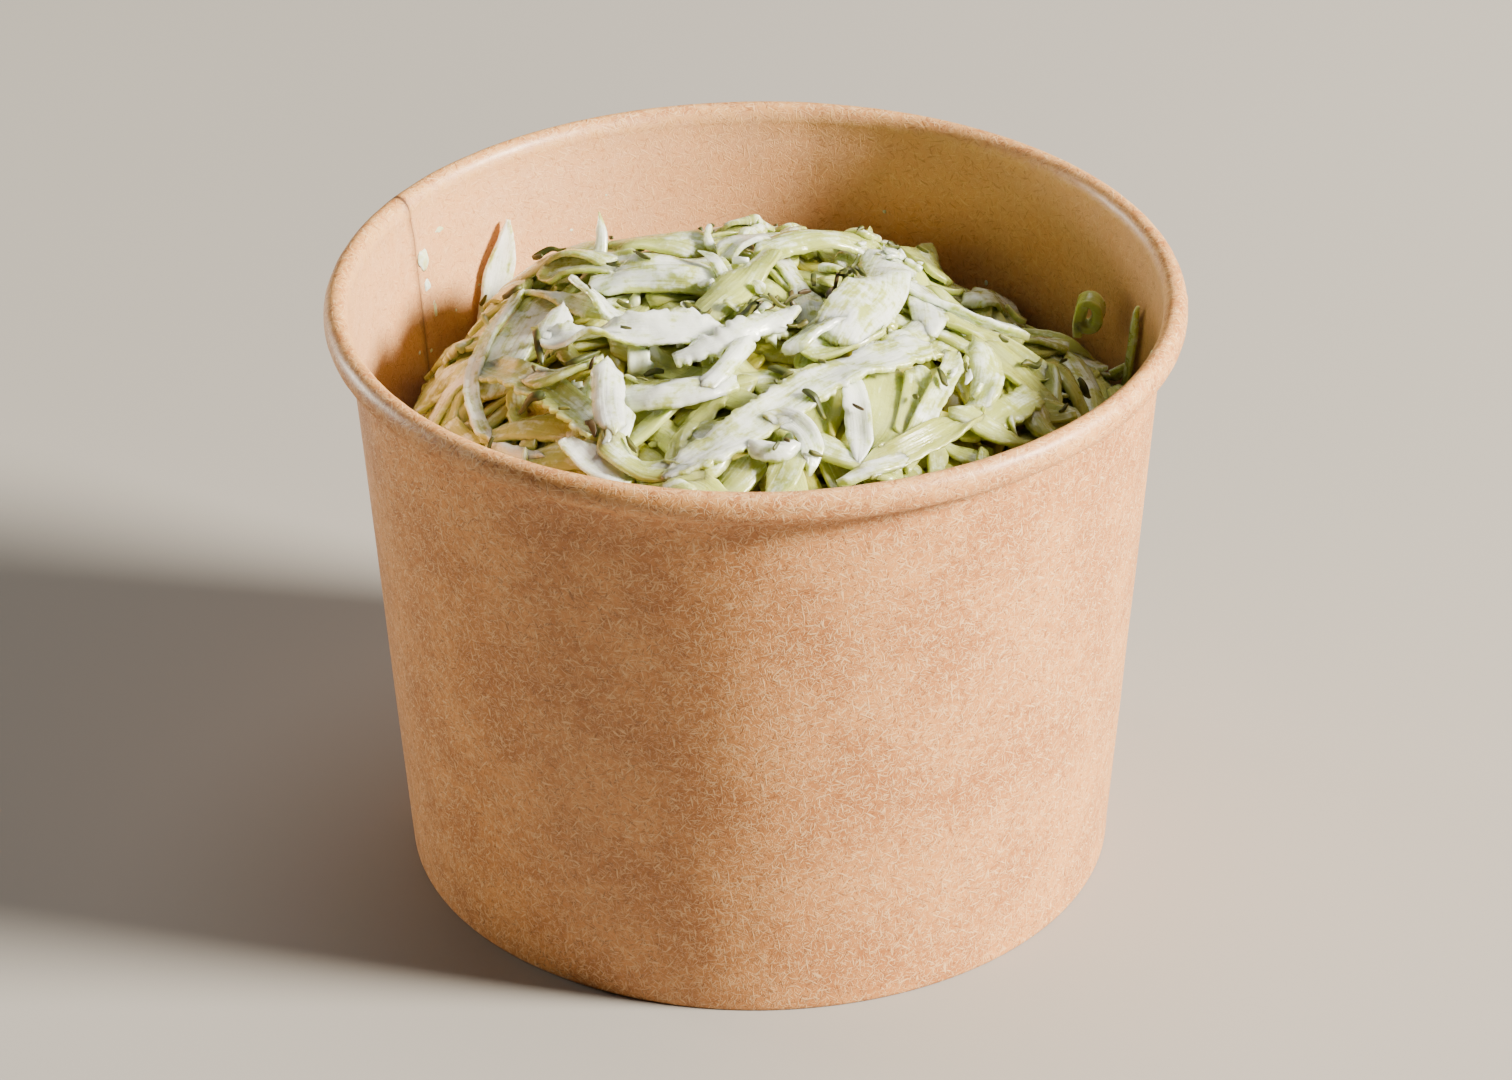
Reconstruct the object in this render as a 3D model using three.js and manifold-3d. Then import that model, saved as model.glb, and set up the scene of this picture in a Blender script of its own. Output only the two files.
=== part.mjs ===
// Coleslaw heaped in a rolled-rim kraft paper cup.
// Millimetres, +Z up. The origin is the middle of the foot, on the surface the cup stands on.
// Three pieces: the lapped paper wall with its rolled rim, the recessed base disc, and the
// coleslaw as one solid, a core with its larger shreds, leaves and herb flecks fused on.

import * as THREE from 'three';
import { mergeVertices } from 'three/addons/utils/BufferGeometryUtils.js';
import Module from 'manifold-3d';

const wasm = await Module();
wasm.setup();

// ---------------------------------------------------------------- driving dimensions

const CUP = {
  height: 71.3,
  footRadius: 41.1,
  shoulderRadius: 46.3,
  shoulderZ: 67,
  rimRadius: 49,
  beadWidth: 3.9,
  beadHeight: 4.3,
  paper: 0.45,
  foldHeight: 5.2,
  foldWidth: 1.4,
  segments: 64,
};

const LAP = { azimuth: 150, width: 8.4, thickness: 0.4, bottom: 0.8, top: 66.2 };

const BASE = { bottom: 5.5, thickness: 0.5 };

const CLEARANCE = 0.35;

// The heap's bare form: a crest that falls to the wall, by a different amount on each side.
const HEAP = {
  crest: { x: -2, y: 7, z: 67.2 },
  reach: 43.4,
  fall: 0.78,
  right: { edge: 52, square: 2.2 },
  back: { edge: 48, square: 2.0 },
  left: { edge: 43, square: 3.2 },
  front: { edge: 56, square: 2.2 },
  shoulder: { x: -23, y: 20, spread: 8, height: 2.2 },
  hollow: { x: 29, y: 26, spread: 9, height: -3 },
};

const CORE = { drop: 2.3, lump: 1, lumpPitch: 9, columns: 40, rings: 11, floor: 6.35 };

const SHRED = { thickness: 0.95, step: 3.6 };

// Smaller shreds strewn over the whole heap; past the ring they lie along the wall.
const FILLER = {
  count: 38,
  spread: 0.93,
  ring: 0.7,
  length: [9, 18],
  width: [2, 4.2],
  ends: [-2, -0.5],
  middle: [-0.8, 1.2],
};

const FLECK = { length: 2.8, width: 0.8, thickness: 0.6, sink: 0.12, strewn: 22 };

// The larger shreds and leaves that lie on top, from the lowest layer to the highest.
// at: middle in plan; heading: degrees from +X towards +Y; bend: degrees turned along the
// length, anticlockwise; lift: height over the bare heap at start, middle and end; roll:
// degrees that the flat side is turned about its own line.
const TOP_SHREDS = [
  { at: [-35, -3], heading: -126, length: 12, width: 4.6, bend: 0, lift: [0, 0.6, -0.5] },
  { at: [-27, 1], heading: -117, length: 16, width: 6, bend: 0, lift: [0.4, 0.9, 0.2] },
  { at: [-22, 20], heading: -25, length: 15, width: 4.8, bend: -25, lift: [0.6, 2, 0.8] },
  { at: [-10, 16], heading: -10, length: 13, width: 4.2, bend: -40, lift: [0.5, 2, 0.8] },
  { at: [8, 15], heading: 25, length: 16, width: 4, bend: -30, lift: [1, 2.4, 1.2] },
  { at: [36, 8], heading: -20, length: 17, width: 7, bend: -20, lift: [-2.5, 3.2, 1] },
  { at: [35, -2], heading: -65, length: 12, width: 3.4, bend: 20, lift: [-2, 1.8, -2] },
  { at: [38.5, 14], heading: 35, length: 5, width: 2, bend: 0, lift: [-3, 9, -3] },
  { at: [7, -20], heading: -106, length: 10, width: 5, bend: 0, lift: [0.2, 0.4, -0.2] },
  { at: [-25, -16], heading: -26, length: 13, width: 3.8, bend: -10, lift: [-0.3, 0.6, -0.3] },
  { at: [-22, -22], heading: -18, length: 12, width: 3.8, bend: 0, lift: [-0.5, 0.4, -0.5] },
  { at: [-11, 6], heading: -12, length: 17, width: 3.2, bend: -12, lift: [0.6, 1.8, 0.8] },
  { at: [-22, 6], heading: -45, length: 15, width: 3.6, bend: 25, lift: [-1.8, 1.4, 0.2] },
  { at: [27, -1], heading: -28, length: 14, width: 3.4, bend: -20, lift: [1, 1.2, 0.2] },
  { at: [19, 5], heading: -77, length: 13, width: 4.4, bend: -15, lift: [1, 1.4, 0.8] },
  { at: [14, -18], heading: -106, length: 13, width: 5.6, bend: -15, lift: [0.8, 1.4, 0] },
  { at: [28, -14], heading: -128, length: 15, width: 3.8, bend: -30, lift: [0.4, 1.2, 0] },
  { at: [10, -27], heading: -22, length: 11, width: 3.2, bend: 40, lift: [0.8, 1.3, -0.2] },
  { at: [-2, -29], heading: -132, length: 8, width: 3.6, bend: -30, lift: [0.6, 0.6, -1] },
  { at: [-9, -17], heading: 2, length: 15, width: 4.2, bend: 60, lift: [0.6, 1.6, 0.8] },
  { at: [-24, -12], heading: -50, length: 24, width: 4.6, bend: -5, lift: [0.6, 1.6, 0.4] },
  { at: [-32, -5], heading: -99, length: 26, width: 1.8, bend: 60, lift: [1.2, 2, 0.2] },
  { at: [-21, -10], heading: 10, length: 11, width: 3.8, bend: 60, lift: [0.8, 2.2, 0.8] },
  { at: [-18, -27], heading: -42, length: 11, width: 3.2, bend: 50, lift: [1.6, 1.6, -0.4] },
  { at: [-16, -18], heading: -88, length: 20, width: 3.2, bend: 0, lift: [2, 2.4, 0] },
  { at: [-18, 4], heading: -68, length: 11, width: 3.2, bend: 10, lift: [1, 2.2, 0.8] },
  { at: [-14, -6], heading: 2, length: 21, width: 4.4, bend: 30, lift: [2, 2.6, 1.6] },
  { at: [9, -5], heading: -122, length: 17, width: 4.2, bend: -30, lift: [1.8, 2.4, 1.6] },
  { at: [-1, -8], heading: 31, length: 17, width: 3.6, bend: 30, lift: [1.2, 2.4, 1.6] },
  { at: [-3, -14], heading: -123, length: 10, width: 2.4, bend: -20, lift: [2, 2, 1] },
  { at: [-1, 3], heading: -120, length: 17, width: 4.6, bend: -25, lift: [2, 2.2, 1] },
  { at: [-1, 15], heading: 20, length: 8, width: 3.8, bend: -30, lift: [0.6, 3.2, 0.6] },
  { at: [13, 2], heading: -108, length: 22, width: 7, bend: -15, lift: [1.4, 2.6, 1.6] },
  { at: [-11, -28], heading: -20, length: 17, width: 3.8, bend: 110, lift: [1, 1, 1] },
  { at: [5, -20], heading: 35, length: 38, width: 5, bend: 9, lift: [0.6, 2.6, 2.2] },
  { at: [20, -16], heading: -111, length: 17, width: 2.6, bend: -15, lift: [2, 2, 0] },
  { at: [26, -10], heading: -89, length: 12, width: 3.8, bend: -50, lift: [2, 2, -0.3] },
  { at: [19, -23], heading: 44, length: 20, width: 3.4, bend: 20, lift: [0, 1.8, 1] },
  { at: [26, -19], heading: 1, length: 10, width: 2.8, bend: 60, lift: [1.2, 1.6, 0] },
  { at: [5, -26], heading: -60, length: 10, width: 2.8, bend: -110, lift: [1.4, 2.6, 0.4] },
  { at: [11, -22], heading: -84, length: 11, width: 3, bend: -20, lift: [2, 2.4, 0] },
  { at: [22, 5], heading: -21, length: 17, width: 2.6, bend: 25, lift: [0.6, 1.6, 2.2] },
  { at: [-30, 14], heading: 80, length: 7, width: 2.8, bend: 0, lift: [-2, 3, 8], roll: 80 },
  { at: [-18, 17], heading: 90, length: 5, width: 1.6, bend: 0, lift: [-2, 1.6, 5.5] },
];

// Plan places of the herb flecks that lie where they are plain to see, each with its heading.
const HERBS = [
  [-26, 4, 80], [-25, 10, 20], [-21, 18, 10], [-16, 13, -60], [-18, 6, 30], [-24, -14, -20],
  [-12, -14, 0], [-3, -2, 35], [0, 1, 40], [9, 9, 70], [12, 10, 80], [5, -5, -30],
  [3, -9, 10], [8, -14, 60], [30, -3, 0], [27, 3, 30],
];

// ---------------------------------------------------------------- small helpers

const TURN = Math.PI * 2;

function radians(degrees) {
  return degrees * Math.PI / 180;
}

function seededRandom(seed) {
  let state = seed >>> 0;
  return () => {
    state = (state + 0x6D2B79F5) >>> 0;
    let mixed = Math.imul(state ^ (state >>> 15), 1 | state);
    mixed = (mixed + Math.imul(mixed ^ (mixed >>> 7), 61 | mixed)) ^ mixed;
    return ((mixed ^ (mixed >>> 14)) >>> 0) / 4294967296;
  };
}

function toSolid(geometry) {
  const bare = geometry.clone();
  bare.deleteAttribute('normal');
  bare.deleteAttribute('uv');
  const merged = mergeVertices(bare, 1e-4);
  return new wasm.Manifold(new wasm.Mesh({
    numProp: 3,
    vertProperties: new Float32Array(merged.attributes.position.array),
    triVerts: new Uint32Array(merged.index.array),
  }));
}

function toGeometry(solid) {
  const mesh = solid.getMesh();
  const geometry = new THREE.BufferGeometry();
  geometry.setAttribute('position', new THREE.BufferAttribute(mesh.vertProperties, 3));
  geometry.setIndex(new THREE.BufferAttribute(mesh.triVerts, 1));
  geometry.computeVertexNormals();
  return geometry;
}

// The largest body of a solid alone: loose scraps go, and sealed hollows fill.
function mainBody(solid) {
  const bodies = solid.decompose();
  return bodies.reduce((best, body) => (body.volume() > best.volume() ? body : best));
}

// Moves every vertex of a geometry by a rule.
function warp(geometry, rule) {
  const place = geometry.attributes.position;
  const point = new THREE.Vector3();
  for (let i = 0; i < place.count; i += 1) {
    point.fromBufferAttribute(place, i);
    rule(point);
    place.setXYZ(i, point.x, point.y, point.z);
  }
  return geometry;
}

// A solid of revolution about +Z, from [radius, z] pairs.
function turned(profile, segments) {
  const points = profile.map(([radius, z]) => new THREE.Vector2(radius, z));
  return new THREE.LatheGeometry(points, segments).rotateX(Math.PI / 2);
}

function outerWallRadius(z) {
  return CUP.footRadius + (CUP.shoulderRadius - CUP.footRadius) * z / CUP.shoulderZ;
}

function innerWallRadius(z) {
  return outerWallRadius(z) - CUP.paper;
}

// ---------------------------------------------------------------- the cup

// The wall's section, once round: up the outside, over the rolled rim, down the inside,
// and out under the folded foot.
function wallSection() {
  const beadX = CUP.rimRadius - CUP.beadWidth / 2;
  const beadZ = CUP.height - CUP.beadHeight / 2;
  const bead = [];
  for (let degrees = -130; degrees <= 190; degrees += 32) {
    const x = beadX + Math.cos(radians(degrees)) * CUP.beadWidth / 2;
    const z = beadZ + Math.sin(radians(degrees)) * CUP.beadHeight / 2;
    bead.push([x, z]);
  }
  const inner = [66, 62, 45, 25, CUP.foldHeight].map((z) => [innerWallRadius(z), z]);
  const foldRadius = outerWallRadius(0) - CUP.foldWidth;
  return [
    [outerWallRadius(0.6) - 0.25, 0],
    [outerWallRadius(0.6), 0.6],
    [outerWallRadius(34), 34],
    [outerWallRadius(66.6), 66.6],
    ...bead,
    ...inner,
    [foldRadius, CUP.foldHeight],
    [foldRadius, 0],
    [outerWallRadius(0.6) - 0.25, 0],
  ];
}

// The overlap of the paper's two ends, a panel wrapped on the outside of the wall.
function lapPanel() {
  const height = LAP.top - LAP.bottom;
  const box = new THREE.BoxGeometry(LAP.width, height, LAP.thickness * 2, 4, 2, 1);
  return warp(box, (point) => {
    const z = point.y + height / 2 + LAP.bottom;
    const radius = outerWallRadius(z) + point.z;
    const angle = radians(LAP.azimuth) + point.x / radius;
    point.set(radius * Math.cos(angle), radius * Math.sin(angle), z);
  });
}

function cupWall() {
  const wall = toSolid(turned(wallSection(), CUP.segments));
  const core = toSolid(turned([
    [0, CUP.foldHeight + 1],
    [innerWallRadius(CUP.foldHeight + 1), CUP.foldHeight + 1],
    [innerWallRadius(CUP.shoulderZ), CUP.shoulderZ],
    [0, CUP.shoulderZ],
  ], CUP.segments));
  const lap = toSolid(lapPanel()).subtract(core);
  return toGeometry(mainBody(wall.add(lap)));
}

function cupBase() {
  const radius = innerWallRadius(BASE.bottom) - CLEARANCE;
  const top = BASE.bottom + BASE.thickness;
  return turned([
    [0, BASE.bottom],
    [radius, BASE.bottom],
    [radius, top],
    [0, top],
  ], CUP.segments);
}

// ---------------------------------------------------------------- the coleslaw

function hump(place, x, y) {
  const distance = (x - place.x) ** 2 + (y - place.y) ** 2;
  return place.height * Math.exp(-distance / (2 * place.spread ** 2));
}

// Height of the bare heap over a plan point.
function heapTop(x, y) {
  const dx = x - HEAP.crest.x;
  const dy = y - HEAP.crest.y;
  const distance = Math.max(Math.hypot(dx, dy), 1e-6);
  const ux = dx / distance;
  const uy = dy / distance;
  const along = HEAP.crest.x * ux + HEAP.crest.y * uy;
  const offset = HEAP.crest.x ** 2 + HEAP.crest.y ** 2;
  const reach = Math.sqrt(along ** 2 - offset + HEAP.reach ** 2) - along;
  const sides = [
    [HEAP.right, Math.max(ux, 0) ** 2],
    [HEAP.back, Math.max(uy, 0) ** 2],
    [HEAP.left, Math.max(-ux, 0) ** 2],
    [HEAP.front, Math.max(-uy, 0) ** 2],
  ];
  let edge = 0;
  let square = 0;
  for (const [side, share] of sides) {
    edge += side.edge * share;
    square += side.square * share;
  }
  const outward = Math.min(distance / reach, 1);
  const height = edge + (HEAP.crest.z - edge) * (1 - outward ** square) ** HEAP.fall;
  return height + hump(HEAP.shoulder, x, y) + hump(HEAP.hollow, x, y);
}

function heapNormal(x, y) {
  const step = 1;
  const slopeX = (heapTop(x + step, y) - heapTop(x - step, y)) / (2 * step);
  const slopeY = (heapTop(x, y + step) - heapTop(x, y - step)) / (2 * step);
  return new THREE.Vector3(-slopeX, -slopeY, 1).normalize();
}

// The core below the shreds: the heap's form with shred-sized lumps, down to the base.
function coreGeometry() {
  const wallGap = CLEARANCE + 0.15;
  const levels = [CORE.floor, 25, 43];
  const profile = [[0, CORE.floor]];
  for (const z of levels) {
    profile.push([innerWallRadius(z) - wallGap, z]);
  }
  const rim = HEAP.reach - wallGap;
  for (let ring = 0; ring < CORE.rings; ring += 1) {
    profile.push([rim * Math.cos(Math.PI / 2 * ring / CORE.rings), 100]);
  }
  profile.push([0, 100]);
  const pitch = TURN / CORE.lumpPitch;
  return warp(turned(profile, CORE.columns), (point) => {
    if (point.z > 99) {
      const { x, y } = point;
      const wave = Math.sin(x * pitch + 1.3 * Math.sin(y * pitch * 0.7));
      const cross = Math.sin(y * pitch * 1.1 + 1.1 * Math.sin(x * pitch * 0.6 + 2));
      const edge = 1 - (Math.hypot(x, y) / rim) ** 6;
      point.z = heapTop(x, y) - CORE.drop + CORE.lump * wave * cross * edge;
    }
  });
}

// Height over the heap along a shred, through its three lifts.
function liftAt(lift, along) {
  const [start, middle, end] = lift;
  return start * (1 - along) * (1 - 2 * along) + middle * 4 * along * (1 - along)
    + end * along * (2 * along - 1);
}

// Plan place of a shred's middle line at 0 to 1 along it, on an arc about its middle.
function planAt(shred, along) {
  const turn = radians(shred.bend) || 1e-4;
  const heading = radians(shred.heading);
  const radius = shred.length / turn;
  const angle = heading + turn * (along - 0.5);
  const x = shred.at[0] + radius * (Math.sin(angle) - Math.sin(heading));
  const y = shred.at[1] - radius * (Math.cos(angle) - Math.cos(heading));
  return [x, y];
}

function shredPoint(shred, along) {
  const [x, y] = planAt(shred, along);
  return new THREE.Vector3(x, y, heapTop(x, y) + liftAt(shred.lift, along));
}

// A thin strip along its line: widest in the middle, narrower at its ends, cupped if wide.
function shredGeometry(shred) {
  const steps = Math.max(3, Math.round(shred.length / SHRED.step));
  const across = shred.width > 4.5 ? 2 : 1;
  const box = new THREE.BoxGeometry(1, 1, SHRED.thickness, steps, across, 1);
  return warp(box, (point) => {
    const along = point.x + 0.5;
    const middle = shredPoint(shred, along);
    const before = shredPoint(shred, along - 0.02);
    const ahead = shredPoint(shred, along + 0.02);
    const tangent = ahead.sub(before).normalize();
    const side = heapNormal(middle.x, middle.y).cross(tangent).normalize();
    side.applyAxisAngle(tangent, radians(shred.roll ?? 0));
    const normal = tangent.clone().cross(side);
    const ends = Math.sin(Math.PI * (0.1 + 0.8 * along)) ** 0.5;
    const sideways = point.y * shred.width * ends;
    const cup = across > 1 ? -1.2 * point.y ** 2 : 0;
    const upward = point.z + cup;
    point.copy(middle).addScaledVector(side, sideways).addScaledVector(normal, upward);
  });
}

// A golden-angle spiral of plan places that covers the heap evenly.
function evenPlace(index, count, spread) {
  const golden = Math.PI * (3 - Math.sqrt(5));
  const radius = HEAP.reach * spread * Math.sqrt((index + 0.5) / count);
  return [radius * Math.cos(index * golden), radius * Math.sin(index * golden)];
}

// The smaller shreds: any way round near the crest, and along the wall beyond the ring.
function fillerShreds() {
  const random = seededRandom(11);
  const between = ([low, high]) => low + (high - low) * random();
  const shreds = [];
  for (let i = 0; i < FILLER.count; i += 1) {
    const at = evenPlace(i, FILLER.count, FILLER.spread);
    const outward = Math.hypot(at[0], at[1]);
    const alongWall = outward > HEAP.reach * FILLER.ring;
    const length = between(FILLER.length);
    const width = between(FILLER.width);
    const tangent = Math.atan2(at[1], at[0]) / radians(1) + 90;
    const heading = alongWall ? tangent + between([-30, 30]) : between([0, 360]);
    const bend = alongWall ? length / outward / radians(1) : between([-70, 70]);
    const lift = [between(FILLER.ends), between(FILLER.middle), between(FILLER.ends)];
    shreds.push({ at, heading, length, width, bend, lift });
  }
  return shreds;
}

// Everything a shred may fill: the cup's inside, less the clearance, up to the rim.
function roomInCup() {
  const low = CORE.floor - 0.05;
  const high = CUP.height - 0.2;
  const mouth = CUP.rimRadius - CUP.beadWidth - CLEARANCE;
  const neck = CUP.height - CUP.beadHeight - 1.5;
  return toSolid(turned([
    [0, low],
    [innerWallRadius(low) - CLEARANCE, low],
    [innerWallRadius(neck) - CLEARANCE - 0.4, neck],
    [mouth, neck + 1.5],
    [mouth, high],
    [0, high],
  ], CUP.segments));
}

// Height of a mesh's upper surface over a plan point.
function surfaceHeight(geometry, x, y) {
  const place = geometry.attributes.position;
  const index = geometry.index;
  const ray = new THREE.Ray(new THREE.Vector3(x, y, 200), new THREE.Vector3(0, 0, -1));
  const [a, b, c, hit] = [0, 1, 2, 3].map(() => new THREE.Vector3());
  let highest = -Infinity;
  for (let i = 0; i < index.count; i += 3) {
    a.fromBufferAttribute(place, index.getX(i));
    b.fromBufferAttribute(place, index.getX(i + 1));
    c.fromBufferAttribute(place, index.getX(i + 2));
    if (ray.intersectTriangle(a, b, c, true, hit)) {
      highest = Math.max(highest, hit.z);
    }
  }
  return highest;
}

function fleckPlaces() {
  const random = seededRandom(23);
  const places = [...HERBS];
  for (let i = 0; i < FLECK.strewn; i += 1) {
    const [x, y] = evenPlace(i, FLECK.strewn, 0.85);
    places.push([x + 3 * random(), y + 3 * random(), 360 * random()]);
  }
  return places;
}

// A herb fleck, bent down a little at its ends, lying on the surface it is dropped on.
function fleckGeometry([x, y, heading], surface) {
  const box = new THREE.BoxGeometry(FLECK.length, FLECK.width, FLECK.thickness, 2, 1, 1);
  warp(box, (point) => {
    point.z -= 0.08 * point.x ** 2;
  });
  const half = FLECK.length / 2;
  const dx = half * Math.cos(radians(heading));
  const dy = half * Math.sin(radians(heading));
  const ahead = surfaceHeight(surface, x + dx, y + dy);
  const behind = surfaceHeight(surface, x - dx, y - dy);
  const middle = surfaceHeight(surface, x, y);
  const pitch = Math.max(-0.7, Math.min(0.7, Math.atan2(ahead - behind, FLECK.length)));
  return box.rotateY(-pitch).rotateZ(radians(heading)).translate(x, y, middle + FLECK.sink);
}

function coleslaw() {
  const room = roomInCup();
  let heap = toSolid(coreGeometry());
  for (const shred of [...fillerShreds(), ...TOP_SHREDS]) {
    heap = heap.add(toSolid(shredGeometry(shred)));
  }
  heap = heap.intersect(room);
  const surface = toGeometry(heap);
  for (const place of fleckPlaces()) {
    heap = heap.add(toSolid(fleckGeometry(place, surface)));
  }
  return toGeometry(mainBody(heap.intersect(room)));
}

// ---------------------------------------------------------------- the model

const MATERIALS = {
  kraft: new THREE.MeshStandardMaterial({ color: 0xC99A6B, roughness: 0.62, metalness: 0 }),
  kraftBase: new THREE.MeshStandardMaterial({ color: 0xC0905F, roughness: 0.68, metalness: 0 }),
  slaw: new THREE.MeshStandardMaterial({ color: 0xD9DBB4, roughness: 0.35, metalness: 0 }),
};

function namedMesh(name, geometry, material) {
  const mesh = new THREE.Mesh(geometry, material);
  mesh.name = name;
  return mesh;
}

const group = new THREE.Group();
group.add(namedMesh('cup_wall', cupWall(), MATERIALS.kraft));
group.add(namedMesh('cup_base', cupBase(), MATERIALS.kraftBase));
group.add(namedMesh('coleslaw', coleslaw(), MATERIALS.slaw));

export default group;
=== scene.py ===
"""Dressed coleslaw heaped in a rolled-rim kraft paper cup.

Sizes in this file are millimetres, in the part's own frame: the origin is the middle of the
foot, +Z is up, and the front of the heap is towards -Y. Meshes are made in metres.
"""

import logging
import math
import random
from dataclasses import dataclass, field, replace
from enum import Enum
from typing import Iterable, Optional, Sequence, Union

import bpy
import numpy as np
from mathutils import Euler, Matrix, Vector


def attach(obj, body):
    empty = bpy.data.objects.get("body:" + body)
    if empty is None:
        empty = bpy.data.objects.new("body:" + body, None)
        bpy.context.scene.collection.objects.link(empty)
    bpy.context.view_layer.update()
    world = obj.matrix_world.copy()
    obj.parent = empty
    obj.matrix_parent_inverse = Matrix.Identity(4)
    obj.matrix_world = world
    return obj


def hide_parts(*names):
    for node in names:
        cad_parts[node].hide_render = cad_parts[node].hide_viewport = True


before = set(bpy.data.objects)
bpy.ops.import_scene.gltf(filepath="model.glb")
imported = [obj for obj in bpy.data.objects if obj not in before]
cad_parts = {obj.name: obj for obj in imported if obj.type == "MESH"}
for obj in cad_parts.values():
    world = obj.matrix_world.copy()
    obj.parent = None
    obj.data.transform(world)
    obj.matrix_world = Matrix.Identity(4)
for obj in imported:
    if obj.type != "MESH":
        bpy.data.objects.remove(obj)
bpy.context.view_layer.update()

MM = 0.001
FULL_TURN = 2 * math.pi
ANYWHERE = 99.0  # a ceiling that no shred reaches
BODY = "root"
LOG = logging.getLogger("coleslaw")

Pair = tuple[float, float]
Triple = tuple[float, float, float]
Colour = tuple[float, float, float]
Face = tuple[int, ...]
Array = np.ndarray
Piece = bpy.types.Object
Material = bpy.types.Material
Node = bpy.types.Node
Group = bpy.types.NodeTree
Socket = bpy.types.NodeSocket
Source = Union[Socket, float, Triple]


# ----------------------------------------------------------------------------- numbers


def radians(degrees: float) -> float:
    """Turns degrees into radians."""
    return degrees * math.pi / 180


def lattice(ix: Array, iy: Array, seed: int) -> Array:
    """Gives a fixed pseudo-random value for each lattice point.

    Args:
        ix: whole-number places along the first axis.
        iy: whole-number places along the second axis.
        seed: picks one of many patterns.

    Returns:
        Values from -1 to 1.
    """
    mixed = (ix * 374761393 + iy * 668265263 + seed * 362437) & 0xFFFFFFFF
    mixed = ((mixed ^ (mixed >> 13)) * 1274126177) & 0xFFFFFFFF
    mixed = (mixed ^ (mixed >> 16)) & 0xFFFF
    return mixed / 32767.5 - 1


def one_value(seed: int, place: int, pattern: int) -> float:
    """One fixed pseudo-random value from -1 to 1."""
    return lattice(np.array([seed]), np.array([place]), pattern)[0]


def smooth_noise(x: Array, y: Array, seed: int) -> Array:
    """Value noise in the plane, about one bump for each unit of length.

    Args:
        x: first coordinate.
        y: second coordinate.
        seed: picks one of many patterns.

    Returns:
        Values from -1 to 1.
    """
    x, y = np.broadcast_arrays(np.asarray(x, float), np.asarray(y, float))
    ix, iy = np.floor(x).astype(np.int64), np.floor(y).astype(np.int64)
    fx, fy = x - ix, y - iy
    fx, fy = fx * fx * (3 - 2 * fx), fy * fy * (3 - 2 * fy)
    low = lattice(ix, iy, seed) * (1 - fx) + lattice(ix + 1, iy, seed) * fx
    high = lattice(ix, iy + 1, seed) * (1 - fx) + lattice(ix + 1, iy + 1, seed) * fx
    return low * (1 - fy) + high * fy


def softened(values: Array, times: int) -> Array:
    """Smooths a row of values by its neighbours, keeping its ends.

    Args:
        values: the row.
        times: how often.

    Returns:
        The smoothed row.
    """
    result = values.copy()
    for _ in range(times):
        result[1:-1] = 0.25 * result[:-2] + 0.5 * result[1:-1] + 0.25 * result[2:]
    return result


def blurred(heights: Array, times: int) -> Array:
    """Smooths a height map by its neighbours on both axes.

    Args:
        heights: the map.
        times: how often.

    Returns:
        The smoothed map.
    """
    result = heights.copy()
    for _ in range(times):
        for axis in (0, 1):
            before = np.roll(result, 1, axis)
            after = np.roll(result, -1, axis)
            result = 0.25 * before + 0.5 * result + 0.25 * after
    return result


def even_turn(count: int) -> Array:
    """Azimuths that go once round in even steps."""
    return np.arange(count) * 2 * math.pi / count


def around(radius: Array, azimuth: Array, z: Array) -> Array:
    """Points at a radius, azimuth and height, one row each."""
    flat = (radius * np.cos(azimuth), radius * np.sin(azimuth), z)
    return np.stack(np.broadcast_arrays(*flat), -1)


def unit(rows: Array) -> Array:
    """Directions of unit length, one row each."""
    return rows / np.maximum(np.linalg.norm(rows, axis=-1, keepdims=True), 1e-6)


# ----------------------------------------------------------------------------- meshes


@dataclass
class MeshStore:
    """Collects the points, faces and point values of many small bodies as one mesh."""

    name: str
    points: list[Array] = field(default_factory=list)
    faces: list[Face] = field(default_factory=list)
    values: dict[str, list[Array]] = field(default_factory=dict)
    count: int = 0

    def add(self, points: Array, faces: Iterable[Face], **values: Array) -> None:
        """Adds one body.

        Args:
            points: its points in millimetres, one row each.
            faces: its faces, as indices into those points.
            **values: one number, or one row of three, for each point.
        """
        self.points.append(points)
        self.faces.extend(tuple(i + self.count for i in face) for face in faces)
        for name, numbers in values.items():
            self.values.setdefault(name, []).append(numbers)
        self.count += len(points)

    def finish(self, material: Material) -> Piece:
        """Makes the Blender object, with smooth faces.

        Args:
            material: the finish of every face.

        Returns:
            The new object, linked to the scene.
        """
        mesh = bpy.data.meshes.new(self.name)
        points = np.concatenate(self.points) * MM
        mesh.from_pydata(points.tolist(), [], self.faces)
        for name, parts in self.values.items():
            numbers = np.concatenate(parts).astype(np.float32)
            kind, slot = ("FLOAT", "value") if numbers.ndim == 1 else ("FLOAT_VECTOR", "vector")
            attribute = mesh.attributes.new(name, kind, "POINT")
            attribute.data.foreach_set(slot, numbers.ravel())
        mesh.materials.append(material)
        mesh.polygons.foreach_set("use_smooth", [True] * len(mesh.polygons))
        mesh.update()
        made = bpy.data.objects.new(self.name, mesh)
        bpy.context.scene.collection.objects.link(made)
        return made


def tube_faces(rows: int, ring: int, flipped: bool = False) -> list[Face]:
    """Faces of a tube of points, ring after ring, with a cap at both ends.

    Args:
        rows: how many rings it has.
        ring: how many points each ring has.
        flipped: whether the faces look the other way.

    Returns:
        The indices of each face's points.
    """
    faces: list[Face] = [
        (r * ring + c, r * ring + d, (r + 1) * ring + d, (r + 1) * ring + c)
        for r in range(rows - 1)
        for c, d in zip(range(ring), [*range(1, ring), 0])
    ]
    faces.append(tuple(reversed(range(ring))))
    faces.append(tuple(range((rows - 1) * ring, rows * ring)))
    return [face[::-1] for face in faces] if flipped else faces


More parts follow.
